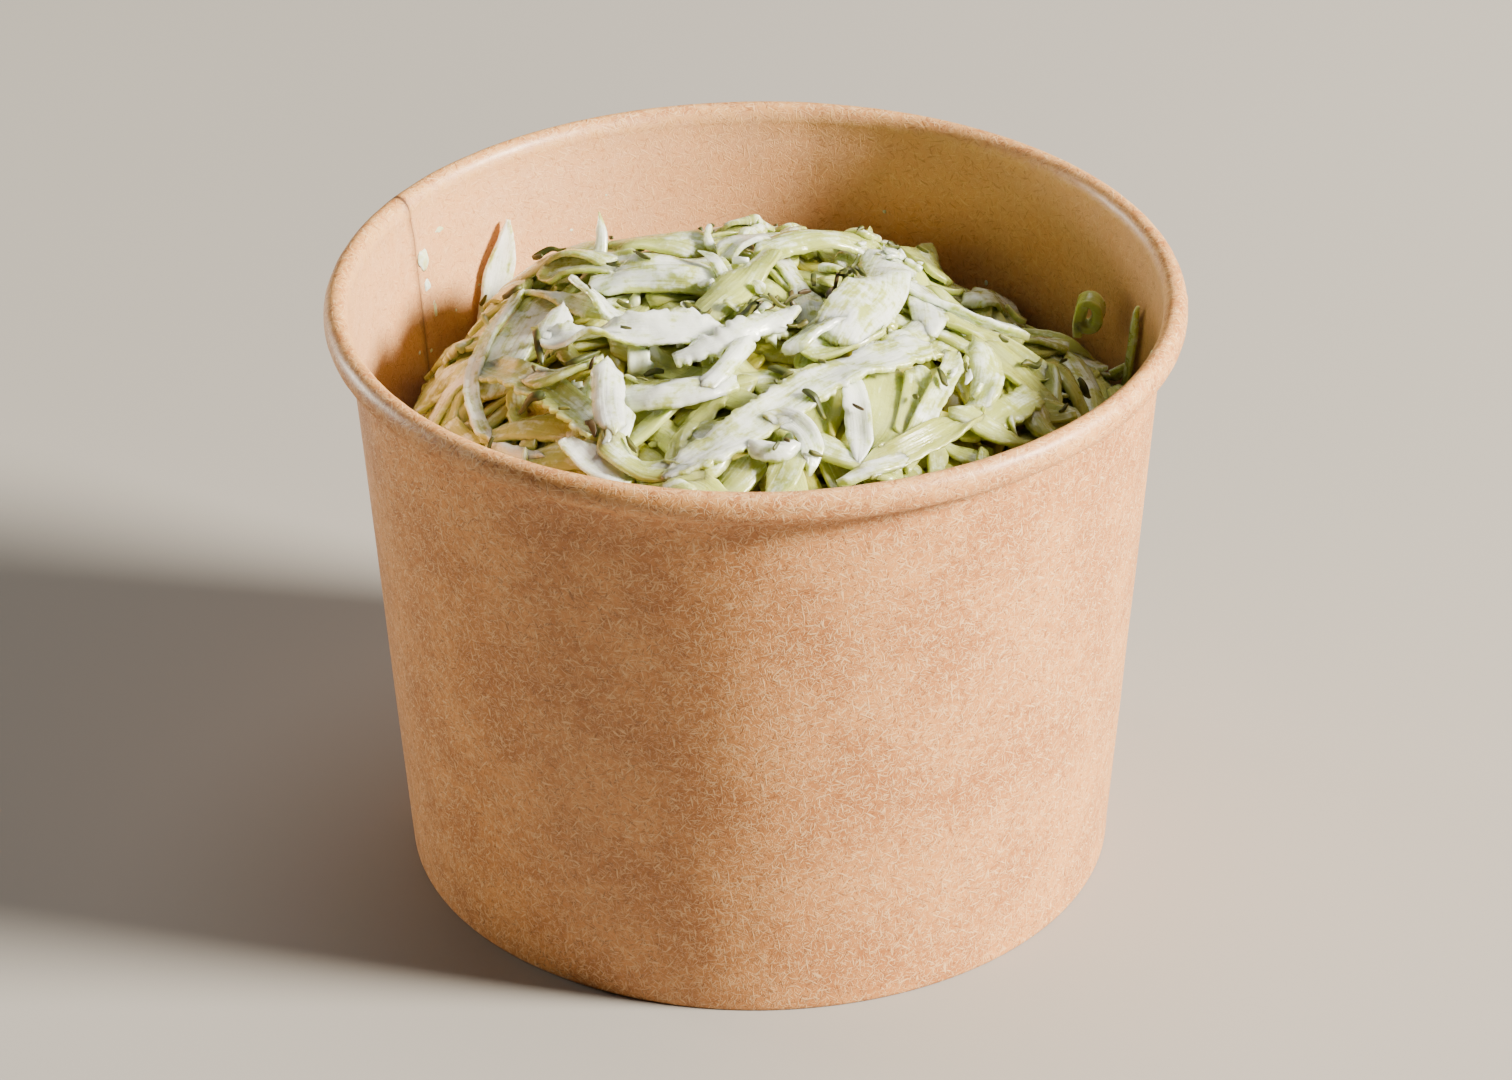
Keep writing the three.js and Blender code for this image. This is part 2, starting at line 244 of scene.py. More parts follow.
def place(piece: Piece, slot: str, replaced: Sequence[str] = ()) -> None:
    """Hands a finished piece to the frame.

    Args:
        piece: the object.
        slot: a material slot's name; not used.
        replaced: names of the solids it stands for.
    """
    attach(piece, BODY)
    if replaced:
        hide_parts(*replaced)
    triangles = sum(len(p.vertices) - 2 for p in piece.data.polygons)
    LOG.info("%s: %d triangles", piece.name, triangles)


# ----------------------------------------------------------------------------- node trees


def set_inputs(node: Node, values: dict[str, object]) -> None:
    """Sets plain values on a node's inputs.

    Args:
        node: the node.
        values: each input's name and value.
    """
    for label, value in values.items():
        node.inputs[label].default_value = value


@dataclass
class Tree:
    """A short hand for building a node tree."""

    tree: Group

    def node(self, kind: str, **settings: object) -> Node:
        """Adds a node.

        Args:
            kind: the node's type name, without its ShaderNode prefix.
            **settings: its properties.

        Returns:
            The node.
        """
        made = self.tree.nodes.new("ShaderNode" + kind)
        for name, value in settings.items():
            setattr(made, name, value)
        return made

    def link(self, source: Socket, target: Socket) -> None:
        """Joins two sockets."""
        self.tree.links.new(source, target)

    def feed(self, target: Socket, value: Source) -> None:
        """Links a socket, or sets a plain value, on an input.

        Args:
            target: the input.
            value: the socket or value it takes.
        """
        if isinstance(value, bpy.types.NodeSocket):
            self.link(value, target)
        else:
            target.default_value = value

    def math(self, operation: str, a: Source, b: Source, clamp: bool = False) -> Socket:
        """Adds a Math node.

        Args:
            operation: what it does.
            a: its first number.
            b: its second number.
            clamp: whether the result is kept from 0 to 1.

        Returns:
            Its output.
        """
        made = self.node("Math", operation=operation, use_clamp=clamp)
        self.feed(made.inputs[0], a)
        self.feed(made.inputs[1], b)
        return made.outputs[0]

    def add(self, a: Source, b: Source, clamp: bool = False) -> Socket:
        """Adds two numbers."""
        return self.math("ADD", a, b, clamp)

    def times(self, a: Source, b: Source) -> Socket:
        """Multiplies two numbers."""
        return self.math("MULTIPLY", a, b)

    def most(self, a: Source, b: Source) -> Socket:
        """Gives the greater of two numbers."""
        return self.math("MAXIMUM", a, b)

    def mix(self, factor: Source, a: Union[Source, Colour], b: Union[Source, Colour]) -> Socket:
        """Adds a colour Mix node.

        Args:
            factor: 0 gives the first colour, 1 the second.
            a: the first colour.
            b: the second colour.

        Returns:
            Its output.
        """
        made = self.node("Mix", data_type="RGBA", clamp_factor=True)
        self.feed(made.inputs["Factor"], factor)
        for slot, colour in ((6, a), (7, b)):
            self.feed(made.inputs[slot], (*colour, 1) if isinstance(colour, tuple) else colour)
        return made.outputs[2]

    def span(
        self, value: Source, low: float, high: float, to_low: float = 0.0, to_high: float = 1.0
    ) -> Socket:
        """Adds a clamped, smooth Map Range node.

        Args:
            value: the number it maps.
            low: where its range starts.
            high: where its range ends.
            to_low: what the start becomes.
            to_high: what the end becomes.

        Returns:
            Its output.
        """
        made = self.node("MapRange", interpolation_type="SMOOTHSTEP")
        set_inputs(made, {"From Min": low, "From Max": high, "To Min": to_low, "To Max": to_high})
        self.feed(made.inputs["Value"], value)
        return made.outputs["Result"]

    def noise(
        self,
        vector: Source,
        scale: float,
        detail: float = 2.0,
        roughness: float = 0.5,
        distortion: float = 0.0,
    ) -> Socket:
        """Adds a Noise Texture.

        Args:
            vector: where it is read.
            scale: how close its bumps lie.
            detail: how many finer layers it has.
            roughness: how strong the finer layers are.
            distortion: how far it is swirled.

        Returns:
            Its factor.
        """
        made = self.node("TexNoise")
        self.feed(made.inputs["Vector"], vector)
        set_inputs(
            made,
            {"Scale": scale, "Detail": detail, "Roughness": roughness, "Distortion": distortion},
        )
        return made.outputs["Fac"]

    def attribute(self, name: str, output: str = "Fac") -> Socket:
        """Reads one of the mesh's own point values."""
        made = self.node("Attribute", attribute_type="GEOMETRY", attribute_name=name)
        return made.outputs[output]

    def scaled(self, vector: Source, by: Triple) -> Socket:
        """Scales a vector.

        Args:
            vector: the vector.
            by: the scale along each axis.

        Returns:
            The scaled vector.
        """
        made = self.node("Mapping", vector_type="POINT")
        made.inputs["Scale"].default_value = by
        self.feed(made.inputs["Vector"], vector)
        return made.outputs["Vector"]

    def object_place(self) -> Socket:
        """Object coordinates in metres."""
        return self.node("TexCoord").outputs["Object"]


def new_group(
    name: str, inputs: dict[str, float], outputs: Sequence[str]
) -> tuple[Tree, dict[str, Socket], dict[str, Socket]]:
    """Starts a shader node group of plain numbers.

    Args:
        name: the group's name.
        inputs: each input's name and default.
        outputs: each output's name.

    Returns:
        The group's tree, its input sockets by name, and its output sockets by name.
    """
    group = bpy.data.node_groups.new(name, "ShaderNodeTree")
    for label, default in inputs.items():
        socket = group.interface.new_socket(label, in_out="INPUT", socket_type="NodeSocketFloat")
        socket.default_value = default
    for label in outputs:
        group.interface.new_socket(label, in_out="OUTPUT", socket_type="NodeSocketFloat")
    entry = group.nodes.new("NodeGroupInput")
    leave = group.nodes.new("NodeGroupOutput")
    given = {label: entry.outputs[label] for label in inputs}
    return Tree(group), given, {label: leave.inputs[label] for label in outputs}


@dataclass(frozen=True)
class FibreBand:
    """Short straight fibres that lie across each other, as in paper.

    The ways they lie are in degrees. A fibre's length and the distance between fibres are in
    millimetres, and the amount says how many show, from 0 to 1.
    """

    ways: tuple[float, ...]
    long: float
    wide: float
    amount: float

    def mask(self, tree: Tree, vector: Socket) -> Source:
        """Adds the fibres to a tree.

        Args:
            tree: where the nodes go.
            vector: coordinates along the sheet, in millimetres.

        Returns:
            A mask, 1 on the fibres.
        """
        shown: Source = 0.0
        low, high = 0.74 - 0.2 * self.amount, 0.86 - 0.2 * self.amount
        for number, way in enumerate(self.ways):
            turned = tree.node("Mapping", vector_type="TEXTURE")
            moved = (31.0 * number + way, 17.0 * number, 5.0 * number)
            set_inputs(
                turned,
                {
                    "Location": moved,
                    "Rotation": (0, 0, radians(way)),
                    "Scale": (self.long, self.wide, 1.0),
                },
            )
            tree.feed(turned.inputs["Vector"], vector)
            streak = tree.noise(turned.outputs["Vector"], 1.0, 1.0, 0.5, 0.25)
            shown = tree.most(shown, tree.span(streak, low, high))
        return shown


@dataclass
class Effects:
    """The shader node groups that the finishes share, each built once.

    The paper's noises have so many bumps to a millimetre, and the dressing's to a metre.
    """

    light_fibres: tuple[FibreBand, FibreBand] = (
        FibreBand((8, 52, 97, 146), 1.7, 0.28, 0.62),
        FibreBand((30, 75, 118, 163), 1.1, 0.17, 0.66),
    )
    dark_fibres: tuple[FibreBand, FibreBand] = (
        FibreBand((20, 66, 110, 155), 1.6, 0.3, 0.6),
        FibreBand((41, 131), 4.0, 0.22, 0.3),
    )
    cloud_scale: float = 0.09
    mottle_scale: float = 0.55
    tooth_scale: float = 3.2
    patch_scale: float = 130.0
    lump_scale: float = 480.0
    grain_scale: float = 1900.0
    paper: Group = field(init=False)
    wet: Group = field(init=False)

    def __post_init__(self) -> None:
        """Builds the groups."""
        self.paper = self._paper()
        self.wet = self._wet()

    def _paper(self) -> Group:
        """Mottle, light and dark fibres and a fine tooth for paper, laid along the sheet.

        Returns:
            The group.
        """
        outputs = ("Mottle", "Cloud", "Light Fibres", "Dark Fibres", "Tooth")
        tree, given, result = new_group("paper_fibres", {"Seed": 0.0}, outputs)
        shift = tree.node("CombineXYZ")
        tree.feed(shift.inputs[2], given["Seed"])
        joined = tree.node("VectorMath", operation="ADD")
        tree.link(tree.attribute("sheet", "Vector"), joined.inputs[0])
        tree.link(shift.outputs[0], joined.inputs[1])
        at = joined.outputs[0]
        tree.link(tree.noise(at, self.cloud_scale), result["Cloud"])
        tree.link(tree.noise(at, self.mottle_scale, 3.0, 0.65), result["Mottle"])
        broad, thin = (band.mask(tree, at) for band in self.light_fibres)
        pale = tree.most(broad, tree.times(thin, 0.8))
        dark = tree.most(*(band.mask(tree, at) for band in self.dark_fibres))
        tree.link(pale, result["Light Fibres"])
        tree.link(dark, result["Dark Fibres"])
        grain = tree.noise(at, self.tooth_scale, 2.0, 0.6)
        lifted = tree.math("SUBTRACT", tree.times(pale, 0.6), tree.times(dark, 0.3))
        tree.link(tree.add(tree.times(grain, 0.5), lifted), result["Tooth"])
        return tree.tree

    def _wet(self) -> Group:
        """Patches, soft lumps and fine grain of a thick wet dressing.

        Returns:
            The group.
        """
        outputs = ("Patches", "Lumps", "Grain", "Height")
        tree, given, result = new_group("wet_coat", {"Grain": 1.0}, outputs)
        spot = tree.object_place()
        lumps = tree.noise(spot, self.lump_scale, 3.0, 0.55, 0.4)
        grain = tree.noise(spot, self.grain_scale, 2.0, 0.6)
        tree.link(tree.noise(spot, self.patch_scale, 2.0, 0.5, 0.5), result["Patches"])
        tree.link(lumps, result["Lumps"])
        tree.link(grain, result["Grain"])
        fine = tree.times(tree.times(grain, 0.25), given["Grain"])
        tree.link(tree.add(lumps, fine), result["Height"])
        return tree.tree


def placed(tree: Tree, group: Group, **inputs: float) -> Node:
    """Puts a group in a material with its own values.

    Args:
        tree: the material's tree.
        group: the group.
        **inputs: its inputs' values.

    Returns:
        The group's node.
    """
    made = tree.node("Group", node_tree=group)
    set_inputs(made, inputs)
    return made


def new_material(name: str, plain: dict[str, object]) -> tuple[Material, Tree, Node]:
    """Starts a material.

    Args:
        name: its name.
        plain: values that are the same all over, by the shader's inputs.

    Returns:
        The material, its tree, and its Principled BSDF.
    """
    made = bpy.data.materials.new(name)
    made.use_nodes = True
    shader = made.node_tree.nodes["Principled BSDF"]
    set_inputs(shader, plain)
    return made, Tree(made.node_tree), shader


def bump(tree: Tree, shader: Node, height: Socket, distance: float, strength: float) -> None:
    """Feeds a height to a shader's normal.

    Args:
        tree: the material's tree.
        shader: its Principled BSDF.
        height: the height, from 0 to 1.
        distance: what 1 stands for, in millimetres.
        strength: the bump's strength, 0 to 1.
    """
    made = tree.node("Bump")
    set_inputs(made, {"Distance": distance * MM, "Strength": strength})
    tree.feed(made.inputs["Height"], height)
    tree.link(made.outputs["Normal"], shader.inputs["Normal"])


# ----------------------------------------------------------------------------- finishes


@dataclass(frozen=True)
class KraftFinish:
    """Brown paper with a thin satin film, its fibres showing."""

    name: str
    body: Colour
    shade: Colour
    seed: float = 0.0
    lining: Colour = (0.64, 0.325, 0.16)
    # a lighter paper colour for the rim's top: partly wear, partly a painted highlight where the
    # rim catches the light
    wear_and_sheen: Colour = (0.72, 0.39, 0.13)
    # the dark colour of the raw cut edge at the seam, also used as painted shade in the seam's gap
    # and as a painted shadow line under the rolled rim
    edge: Colour = (0.085, 0.030, 0.010)
    pale_fibre: Colour = (0.84, 0.52, 0.25)
    dark_fibre: Colour = (0.30, 0.105, 0.028)
    swing: Pair = (-0.15, 0.65)
    roughness: float = 0.46

    def build(self, effects: Effects) -> Material:
        """Makes the material.

        Args:
            effects: the shared node groups.

        Returns:
            The material, which reads the points' sheet, inside, worn and crease values.
        """
        made, tree, shader = new_material(
            self.name, {"Specular IOR Level": 0.42, "Coat Roughness": 0.36}
        )
        paper = placed(tree, effects.paper, Seed=self.seed)
        mottle, cloud = paper.outputs["Mottle"], paper.outputs["Cloud"]
        inside, wear_and_sheen = tree.attribute("inside"), tree.attribute("wear_and_sheen")
        coarse = tree.span(mottle, 0.25, 0.75, *self.swing)
        tone = tree.add(coarse, tree.span(cloud, 0.3, 0.7, *self.swing), clamp=True)
        outside = tree.mix(tone, self.shade, self.body)
        lining = tree.mix(tree.times(tone, 0.4), self.lining, self.body)
        base = tree.mix(inside, outside, lining)
        # the rim's top is lightened: wear, with a painted highlight
        wear_and_sheen_share = tree.times(wear_and_sheen, tree.span(mottle, 0.35, 0.6, 0.05, 0.5))
        base = tree.mix(wear_and_sheen_share, base, self.wear_and_sheen)
        strength = tree.span(inside, 0.0, 1.0, 0.85, 0.45)
        for label, fibre in (("Dark Fibres", self.dark_fibre), ("Light Fibres", self.pale_fibre)):
            base = tree.mix(tree.times(paper.outputs[label], strength), base, fibre)
        # darkens the raw cut edge at the seam, and paints shade in the seam's gap and under the
        # rolled rim
        base = tree.mix(tree.attribute("crease"), base, self.edge)
        rough = tree.span(mottle, 0.3, 0.7, self.roughness + 0.06, self.roughness - 0.06)
        tree.link(base, shader.inputs["Base Color"])
        tree.link(rough, shader.inputs["Roughness"])
        tree.link(tree.span(wear_and_sheen, 0.0, 1.0, 0.05, 0.4), shader.inputs["Coat Weight"])
        bump(tree, shader, paper.outputs["Tooth"], 0.07, 0.5)
        return made


@dataclass(frozen=True)
class Translucence:
    """How light spreads inside: its share, its reach in millimetres, and more of which colour."""

    weight: float
    reach: float
    radius: Triple = (0.9, 1.0, 0.8)

    def plain(self) -> dict[str, object]:
        """The shader's values for it.

        Returns:
            Each input's name and value.
        """
        return {
            "Subsurface Weight": self.weight,
            "Subsurface Radius": self.radius,
            "Subsurface Scale": self.reach * MM,
        }


@dataclass(frozen=True)
class CabbageFinish:
    """Raw shredded cabbage with a thin wet coat of dressing, and painted shade deeper in the heap.
    """

    cream: Colour = (0.88, 1.0, 0.8)
    pale: Colour = (0.49, 0.54, 0.155)
    green: Colour = (0.335, 0.345, 0.06)
    groove: Colour = (0.30, 0.28, 0.05)
    # deep and dark: painted shade for points that lie deep below the heap's smoothed top
    deep: Colour = (0.48, 0.41, 0.035)
    dark: Colour = (0.36, 0.28, 0.016)
    coat_gain: float = 1.1
    translucence: Translucence = Translucence(0.75, 2.2)

    def build(self, effects: Effects) -> Material:
        """Makes the material.

        Args:
            effects: the shared node groups.

        Returns:
            The material, which reads the points' shade, tone, coat and lay values.
        """
        gloss = {"Specular IOR Level": 0.5, "Coat Weight": 0.6, "Coat Roughness": 0.16}
        plain = {**self.translucence.plain(), **gloss}
        made, tree, shader = new_material("cabbage_dressed", plain)
        wet = placed(tree, effects.wet, Grain=1.0)
        lumps = wet.outputs["Lumps"]
        lay, shade = tree.attribute("lay", "Vector"), tree.attribute("shade")
        veins = tree.noise(tree.scaled(lay, (0.12, 2.2, 1.0)), 1.0, 3.0, 0.6)
        blush = tree.noise(tree.scaled(lay, (0.22, 0.35, 1.0)), 1.0)
        smears = tree.noise(tree.scaled(lay, (0.3, 1.1, 1.0)), 1.0, 2.0, 0.6)
        uneven_tone = tree.span(blush, 0.3, 0.7, -0.22, 0.22)
        tone = tree.add(tree.attribute("tone"), uneven_tone, clamp=True)
        flesh = tree.mix(tone, self.pale, self.green)
        flesh = tree.mix(tree.span(veins, 0.4, 0.62, 0.0, 0.5), flesh, self.pale)
        flesh = tree.mix(tree.span(veins, 0.32, 0.46, 0.25, 0.0), flesh, self.groove)
        coat = tree.times(tree.attribute("coat"), self.coat_gain)
        for layer, amount in (
            (wet.outputs["Patches"], 0.16),
            (smears, 0.2),
            (veins, 0.17),
            (lumps, 0.28),
            (wet.outputs["Grain"], 0.12),
        ):
            coat = tree.add(coat, tree.span(layer, 0.3, 0.7, -amount, amount))
        # less of the dressing shows deep in the heap: painted shade
        film = tree.times(tree.span(coat, 0.34, 1.2), tree.span(shade, 0.12, 0.6, 1.0, 0.4))
        colour = tree.mix(film, flesh, self.cream)
        # painted shade: towards olive and dark the deeper a point lies
        colour = tree.mix(tree.span(shade, 0.22, 0.7), colour, self.deep)
        colour = tree.mix(tree.span(shade, 0.55, 1.0, 0.0, 0.8), colour, self.dark)
        tree.link(colour, shader.inputs["Base Color"])
        tree.link(tree.span(lumps, 0.3, 0.7, 0.2, 0.42), shader.inputs["Roughness"])
        relief = tree.add(tree.times(veins, 0.5), tree.times(wet.outputs["Height"], 0.5))
        bump(tree, shader, relief, 0.5, 0.65)
        return made


@dataclass(frozen=True)
class CreamFinish:
    """Thick white dressing, faintly green where it is thin, and with painted shade where it lies
    deep in the heap.
    """

    cream: Colour = (0.82, 0.93, 0.74)
    thin: Colour = (0.66, 0.69, 0.30)
    # deep: painted shade for dressing that lies deep in the heap
    deep: Colour = (0.44, 0.40, 0.05)
    translucence: Translucence = Translucence(0.4, 1.2)

    def build(self, effects: Effects) -> Material:
        """Makes the material.

        Args:
            effects: the shared node groups.

        Returns:
            The material, which reads the points' shade values.
        """
        plain = {**self.translucence.plain(), "Specular IOR Level": 0.45}
        made, tree, shader = new_material("dressing_cream", plain)
        wet = placed(tree, effects.wet, Grain=1.0)
        lumps = wet.outputs["Lumps"]
        colour = tree.mix(tree.span(lumps, 0.35, 0.62), self.thin, self.cream)
        # painted shade deep in the heap
        colour = tree.mix(tree.span(tree.attribute("shade"), 0.15, 0.8), colour, self.deep)
        tree.link(colour, shader.inputs["Base Color"])
        tree.link(tree.span(lumps, 0.3, 0.7, 0.46, 0.34), shader.inputs["Roughness"])
        bump(tree, shader, wet.outputs["Height"], 0.3, 0.5)
        return made


@dataclass(frozen=True)
class HerbFinish:
    """Dark green dill and brown-green dried herb."""

    green: Colour = (0.045, 0.055, 0.008)
    olive: Colour = (0.115, 0.11, 0.014)
    brown: Colour = (0.075, 0.046, 0.016)

    def build(self, effects: Effects) -> Material:
        """Makes the material.

        Args:
            effects: the shared node groups.

        Returns:
            The material, which reads the points' tone values.
        """
        made, tree, shader = new_material("herb_leaf", {})
        wet = placed(tree, effects.wet, Grain=1.0)
        colour = tree.mix(tree.span(wet.outputs["Lumps"], 0.4, 0.6), self.green, self.olive)
        colour = tree.mix(tree.span(tree.attribute("tone"), 0.6, 0.9), colour, self.brown)
        tree.link(colour, shader.inputs["Base Color"])
        tree.link(tree.span(wet.outputs["Grain"], 0.3, 0.7, 0.4, 0.6), shader.inputs["Roughness"])
        bump(tree, shader, wet.outputs["Height"], 0.1, 0.4)
        return made


# ----------------------------------------------------------------------------- the cup


@dataclass(frozen=True)
class PaperCup:
    """The lapped wall with its rolled rim and folded foot, and the recessed base."""

    height: float = 71.15
    foot_radius: float = 41.1
    shoulder_radius: float = 46.3
    shoulder_z: float = 67.0
    rim_radius: float = 49.0
    bead_width: float = 2.8
    bead_height: float = 3.75
    paper: float = 0.45
    fold_height: float = 5.2
    fold_width: float = 1.4
    base_z: float = 5.5
    base_groove: float = 38.2
    lap_azimuth: float = 151.0
    lap_width: float = 8.4
    lap_step: float = 0.34
    # height where the rim's lighter colour starts: wear, with a painted highlight
    wear_and_sheen_from: float = 68.4
    # height of the painted shadow line under the rolled rim
    under_rim_shade_z: float = 67.3
    crinkle_z: Pair = (60.5, 69.5)
    crinkle: float = 0.17
    lean: Pair = (0.10, 0.045)
    dent: float = 0.04
    columns: int = 288
    base_columns: int = 96
    wall: KraftFinish = KraftFinish("kraft_wall", (0.68, 0.282, 0.078), (0.455, 0.162, 0.040))
    base: KraftFinish = KraftFinish("kraft_base", (0.60, 0.27, 0.085), (0.51, 0.21, 0.06), 3.0)

    def outer(self, z: float) -> float:
        """Radius of the wall's outside at a height."""
        return self.foot_radius + (self.shoulder_radius - self.foot_radius) * z / self.shoulder_z

    def inner(self, z: float) -> float:
        """Radius of the wall's inside at a height."""
        return self.outer(z) - self.paper

    def _lap_end(self) -> float:
        """Azimuth of the paper's outer edge."""
        return radians(self.lap_azimuth) + self.lap_width / self.shoulder_radius

    def _azimuths(self) -> Array:
        """Even azimuths, with a close pair at each edge of the lap.

        Returns:
            The azimuths, in radians.
        """
        edges = [radians(self.lap_azimuth), self._lap_end()]
        close = 0.1 / self.shoulder_radius
        keep = [a for a in even_turn(self.columns) if all(abs(a - e) > 5 * close for e in edges)]
        extra = [e + side * close for e in edges for side in (-3.2, -1.4, 1.4, 3.2)]
        return np.array(sorted(keep + extra))

    def _lap_inside(self, azimuth: Array) -> Array:
        """How far the paper's inner edge stands into the cup, by azimuth."""
        past = (azimuth - radians(self.lap_azimuth)) % FULL_TURN
        return self.lap_step * np.exp(-past * self.shoulder_radius / 4.5)

    def _lap_outside(self, azimuth: Array) -> Array:
        """How far the paper's outer edge stands proud, by azimuth."""
        before = (self._lap_end() - azimuth) % FULL_TURN
        return self.lap_step * np.exp(-before * self.shoulder_radius / 7.0)

    def _profile(self) -> list[Triple]:
        """The wall's section, once round: radius, height, and which side of the paper.

        Returns:
            Points from the foot up the outside, over the rim and down the inside. The side
            is 1 outside, -1 inside and between them over the rim.
        """
        bead_x = self.rim_radius - self.bead_width / 2
        bead_z = self.height - self.bead_height / 2
        points: list[Triple] = []
        for turn in (radians(30 * step) for step in range(4)):
            x = self.outer(0.6) - 0.3 * (1 - math.sin(turn))
            points.append((x, 0.6 - 0.6 * math.cos(turn), 1))
        points += [(self.outer(z), z, 1) for z in np.linspace(2.5, 66.2, 24)]
        for degrees in range(-126, 195, 10):
            x = bead_x + math.cos(radians(degrees)) * self.bead_width / 2
            z = bead_z + math.sin(radians(degrees)) * self.bead_height / 2
            points.append((x, z, 1 - 2 * min(max((degrees - 40) / 140, 0), 1)))
        points += [(self.inner(z), z, -1) for z in np.linspace(66.4, self.fold_height, 26)]
        fold = self.foot_radius - self.fold_width
        foot = ((fold, self.fold_height), (fold, 2.5), (fold, 0.25), (fold + 0.25, 0))
        return points + [(x, z, -1) for x, z in foot]

    def shell(self, effects: Effects) -> Piece:
        """Builds the wall, rim and foot, and dresses them.

        Args:
            effects: the shared node groups.

        Returns:
            The piece.
        """
        azimuth = self._azimuths()
        radius, height, side = np.array(self._profile()).T
        inside, outside = np.clip(-side, 0, 1), np.clip(side, 0, 1)
        a, z = np.meshgrid(azimuth, height, indexing="ij")
        lap_in = self._lap_inside(azimuth)[:, None] * inside * (z > self.fold_height + 0.1)
        lap_out = self._lap_outside(azimuth)[:, None] * outside * (z < 66.5)
        lean = self.lean[0] * smooth_noise(a * 2.1, z * 0.02, 5)
        lean = lean + self.lean[1] * smooth_noise(a * 9, z * 0.11, 6)
        dent = self.dent * smooth_noise(a * 30, z * 0.4, 9) * (z > 66)
        r = radius - lap_in + lap_out * 0.9 + self._crinkle(a, z) * inside
        r = np.minimum(r + (lean + dent) * (z > 1.0), self.rim_radius - 0.02)
        points = around(r, a, np.minimum(z, self.height))
        rows, ring = r.shape
        faces = [
            (row * ring + c, after * ring + c, after * ring + d, row * ring + d)
            for row, after in zip(range(rows), [*range(1, rows), 0])
            for c, d in zip(range(ring), [*range(1, ring), 0])
        ]
        past = (a - radians(self.lap_azimuth) - 0.05 / self.shoulder_radius) % FULL_TURN
        run = np.concatenate([[0], np.cumsum(np.hypot(np.diff(radius), np.diff(height)))])
        sheet = np.stack([past * 45, np.broadcast_to(run, a.shape), np.zeros(a.shape)], -1)
        on_top = np.clip(1.3 - 0.5 * np.abs(side + 0.2), 0, 1)
        store = MeshStore("cup_shell")
        store.add(
            points.reshape(-1, 3),
            faces,
            inside=np.broadcast_to(np.clip(inside * 1.6 - 0.2, 0, 1), r.shape).ravel(),
            # the rim's top gets the lighter colour: wear, with a painted highlight
            wear_and_sheen=(np.clip((z - self.wear_and_sheen_from) / 1.2, 0, 1) * on_top).ravel(),
            crease=self._edge_and_painted_shade(a, z, side).ravel(),
            sheet=sheet.reshape(-1, 3),
        )
        return store.finish(self.wall.build(effects))

    def _edge_and_painted_shade(self, azimuth: Array, z: Array, side: Array) -> Array:
        """How dark the paper's raw cut edges are, with painted shade in the lap's gaps and a
        painted shadow line under the rolled rim.

        Args:
            azimuth: the points' azimuths.
            z: their heights.
            side: which side of the paper they are on.

        Returns:
            Values from 0 to 1.
        """
        turned = (azimuth - radians(self.lap_azimuth) + math.pi) % FULL_TURN - math.pi
        past = turned * self.shoulder_radius
        out = side > 0.95
        # the lap's two seams: the raw cut edges, partly real, partly painted shade in the gaps
        # beside them
        seam = np.clip((0.4 - np.abs(past)) / 0.18, 0, 1) * (side < 0.95)
        outer_seam = np.clip((0.32 - np.abs(past - self.lap_width)) / 0.18, 0, 1) * out * (z < 67)
        # a painted shadow line in the corner under the rolled rim
        under = np.clip(1 - np.abs(z - self.under_rim_shade_z) / 0.45, 0, 1) * out
        return np.clip(seam * 0.95 + outer_seam * 0.7 + 0.4 * under, 0, 1)

    def _crinkle(self, azimuth: Array, z: Array) -> Array:
        """Small buckles where the paper turns into the roll, strongest on the right.

        Args:
            azimuth: the points' azimuths.
            z: their heights.

        Returns:
            How far the paper stands out there.
        """
        low, high = self.crinkle_z
        near_rim = np.clip((z - low) / 3.5, 0, 1) * np.clip((high - z) / 2.0, 0, 1)
        from_right = (azimuth + math.pi) % FULL_TURN - math.pi
        right = 0.25 + 0.75 * np.exp(-((from_right / 0.7) ** 2))
        folds = smooth_noise(azimuth * 11, z * 0.12, 31)
        folds = folds + 0.6 * smooth_noise(azimuth * 24, z * 0.3, 32)
        return self.crinkle * near_rim * right * folds

    def floor(self, effects: Effects) -> Piece:
        """Builds the recessed base disc, a little domed, creased at its edge, and dresses it.

        Args:
            effects: the shared node groups.

        Returns:
            The piece.
        """
        edge = self.inner(self.base_z) - 0.35
        radii = np.array([0.6, 8, 16, 24, 31, 35.5, 37.4, self.base_groove, 39.0, 39.9, edge])
        crease = 0.16 * np.exp(-(((radii - self.base_groove) / 0.7) ** 2))
        under = self.base_z + 0.12 * (1 - (radii / edge) ** 2) + crease
        over = np.full_like(under, self.base_z + 0.5)
        section = list(zip(radii, under)) + list(zip(radii[::-1], over))
        turn = even_turn(self.base_columns)
        points = np.concatenate([around(r, turn, h) for r, h in section])
        store = MeshStore("cup_floor")
        none = np.zeros(len(points))
        faces = tube_faces(len(section), self.base_columns)
        store.add(points, faces, inside=none, wear_and_sheen=none, crease=none, sheet=points.copy())
        return store.finish(self.base.build(effects))


# ----------------------------------------------------------------------------- the heap


@dataclass(frozen=True)
class Side:
    """How the heap meets the wall on one side: the height there, and how square it falls."""

    edge: float
    square: float


@dataclass(frozen=True)
class Hump:
    """A round rise or hollow in the heap."""

    x: float
    y: float
    spread: float
    height: float

    def over(self, x: Array, y: Array) -> Array:
        """Its height over plan points."""
        return self.height * np.exp(-((x - self.x) ** 2 + (y - self.y) ** 2) / (2 * self.spread**2))


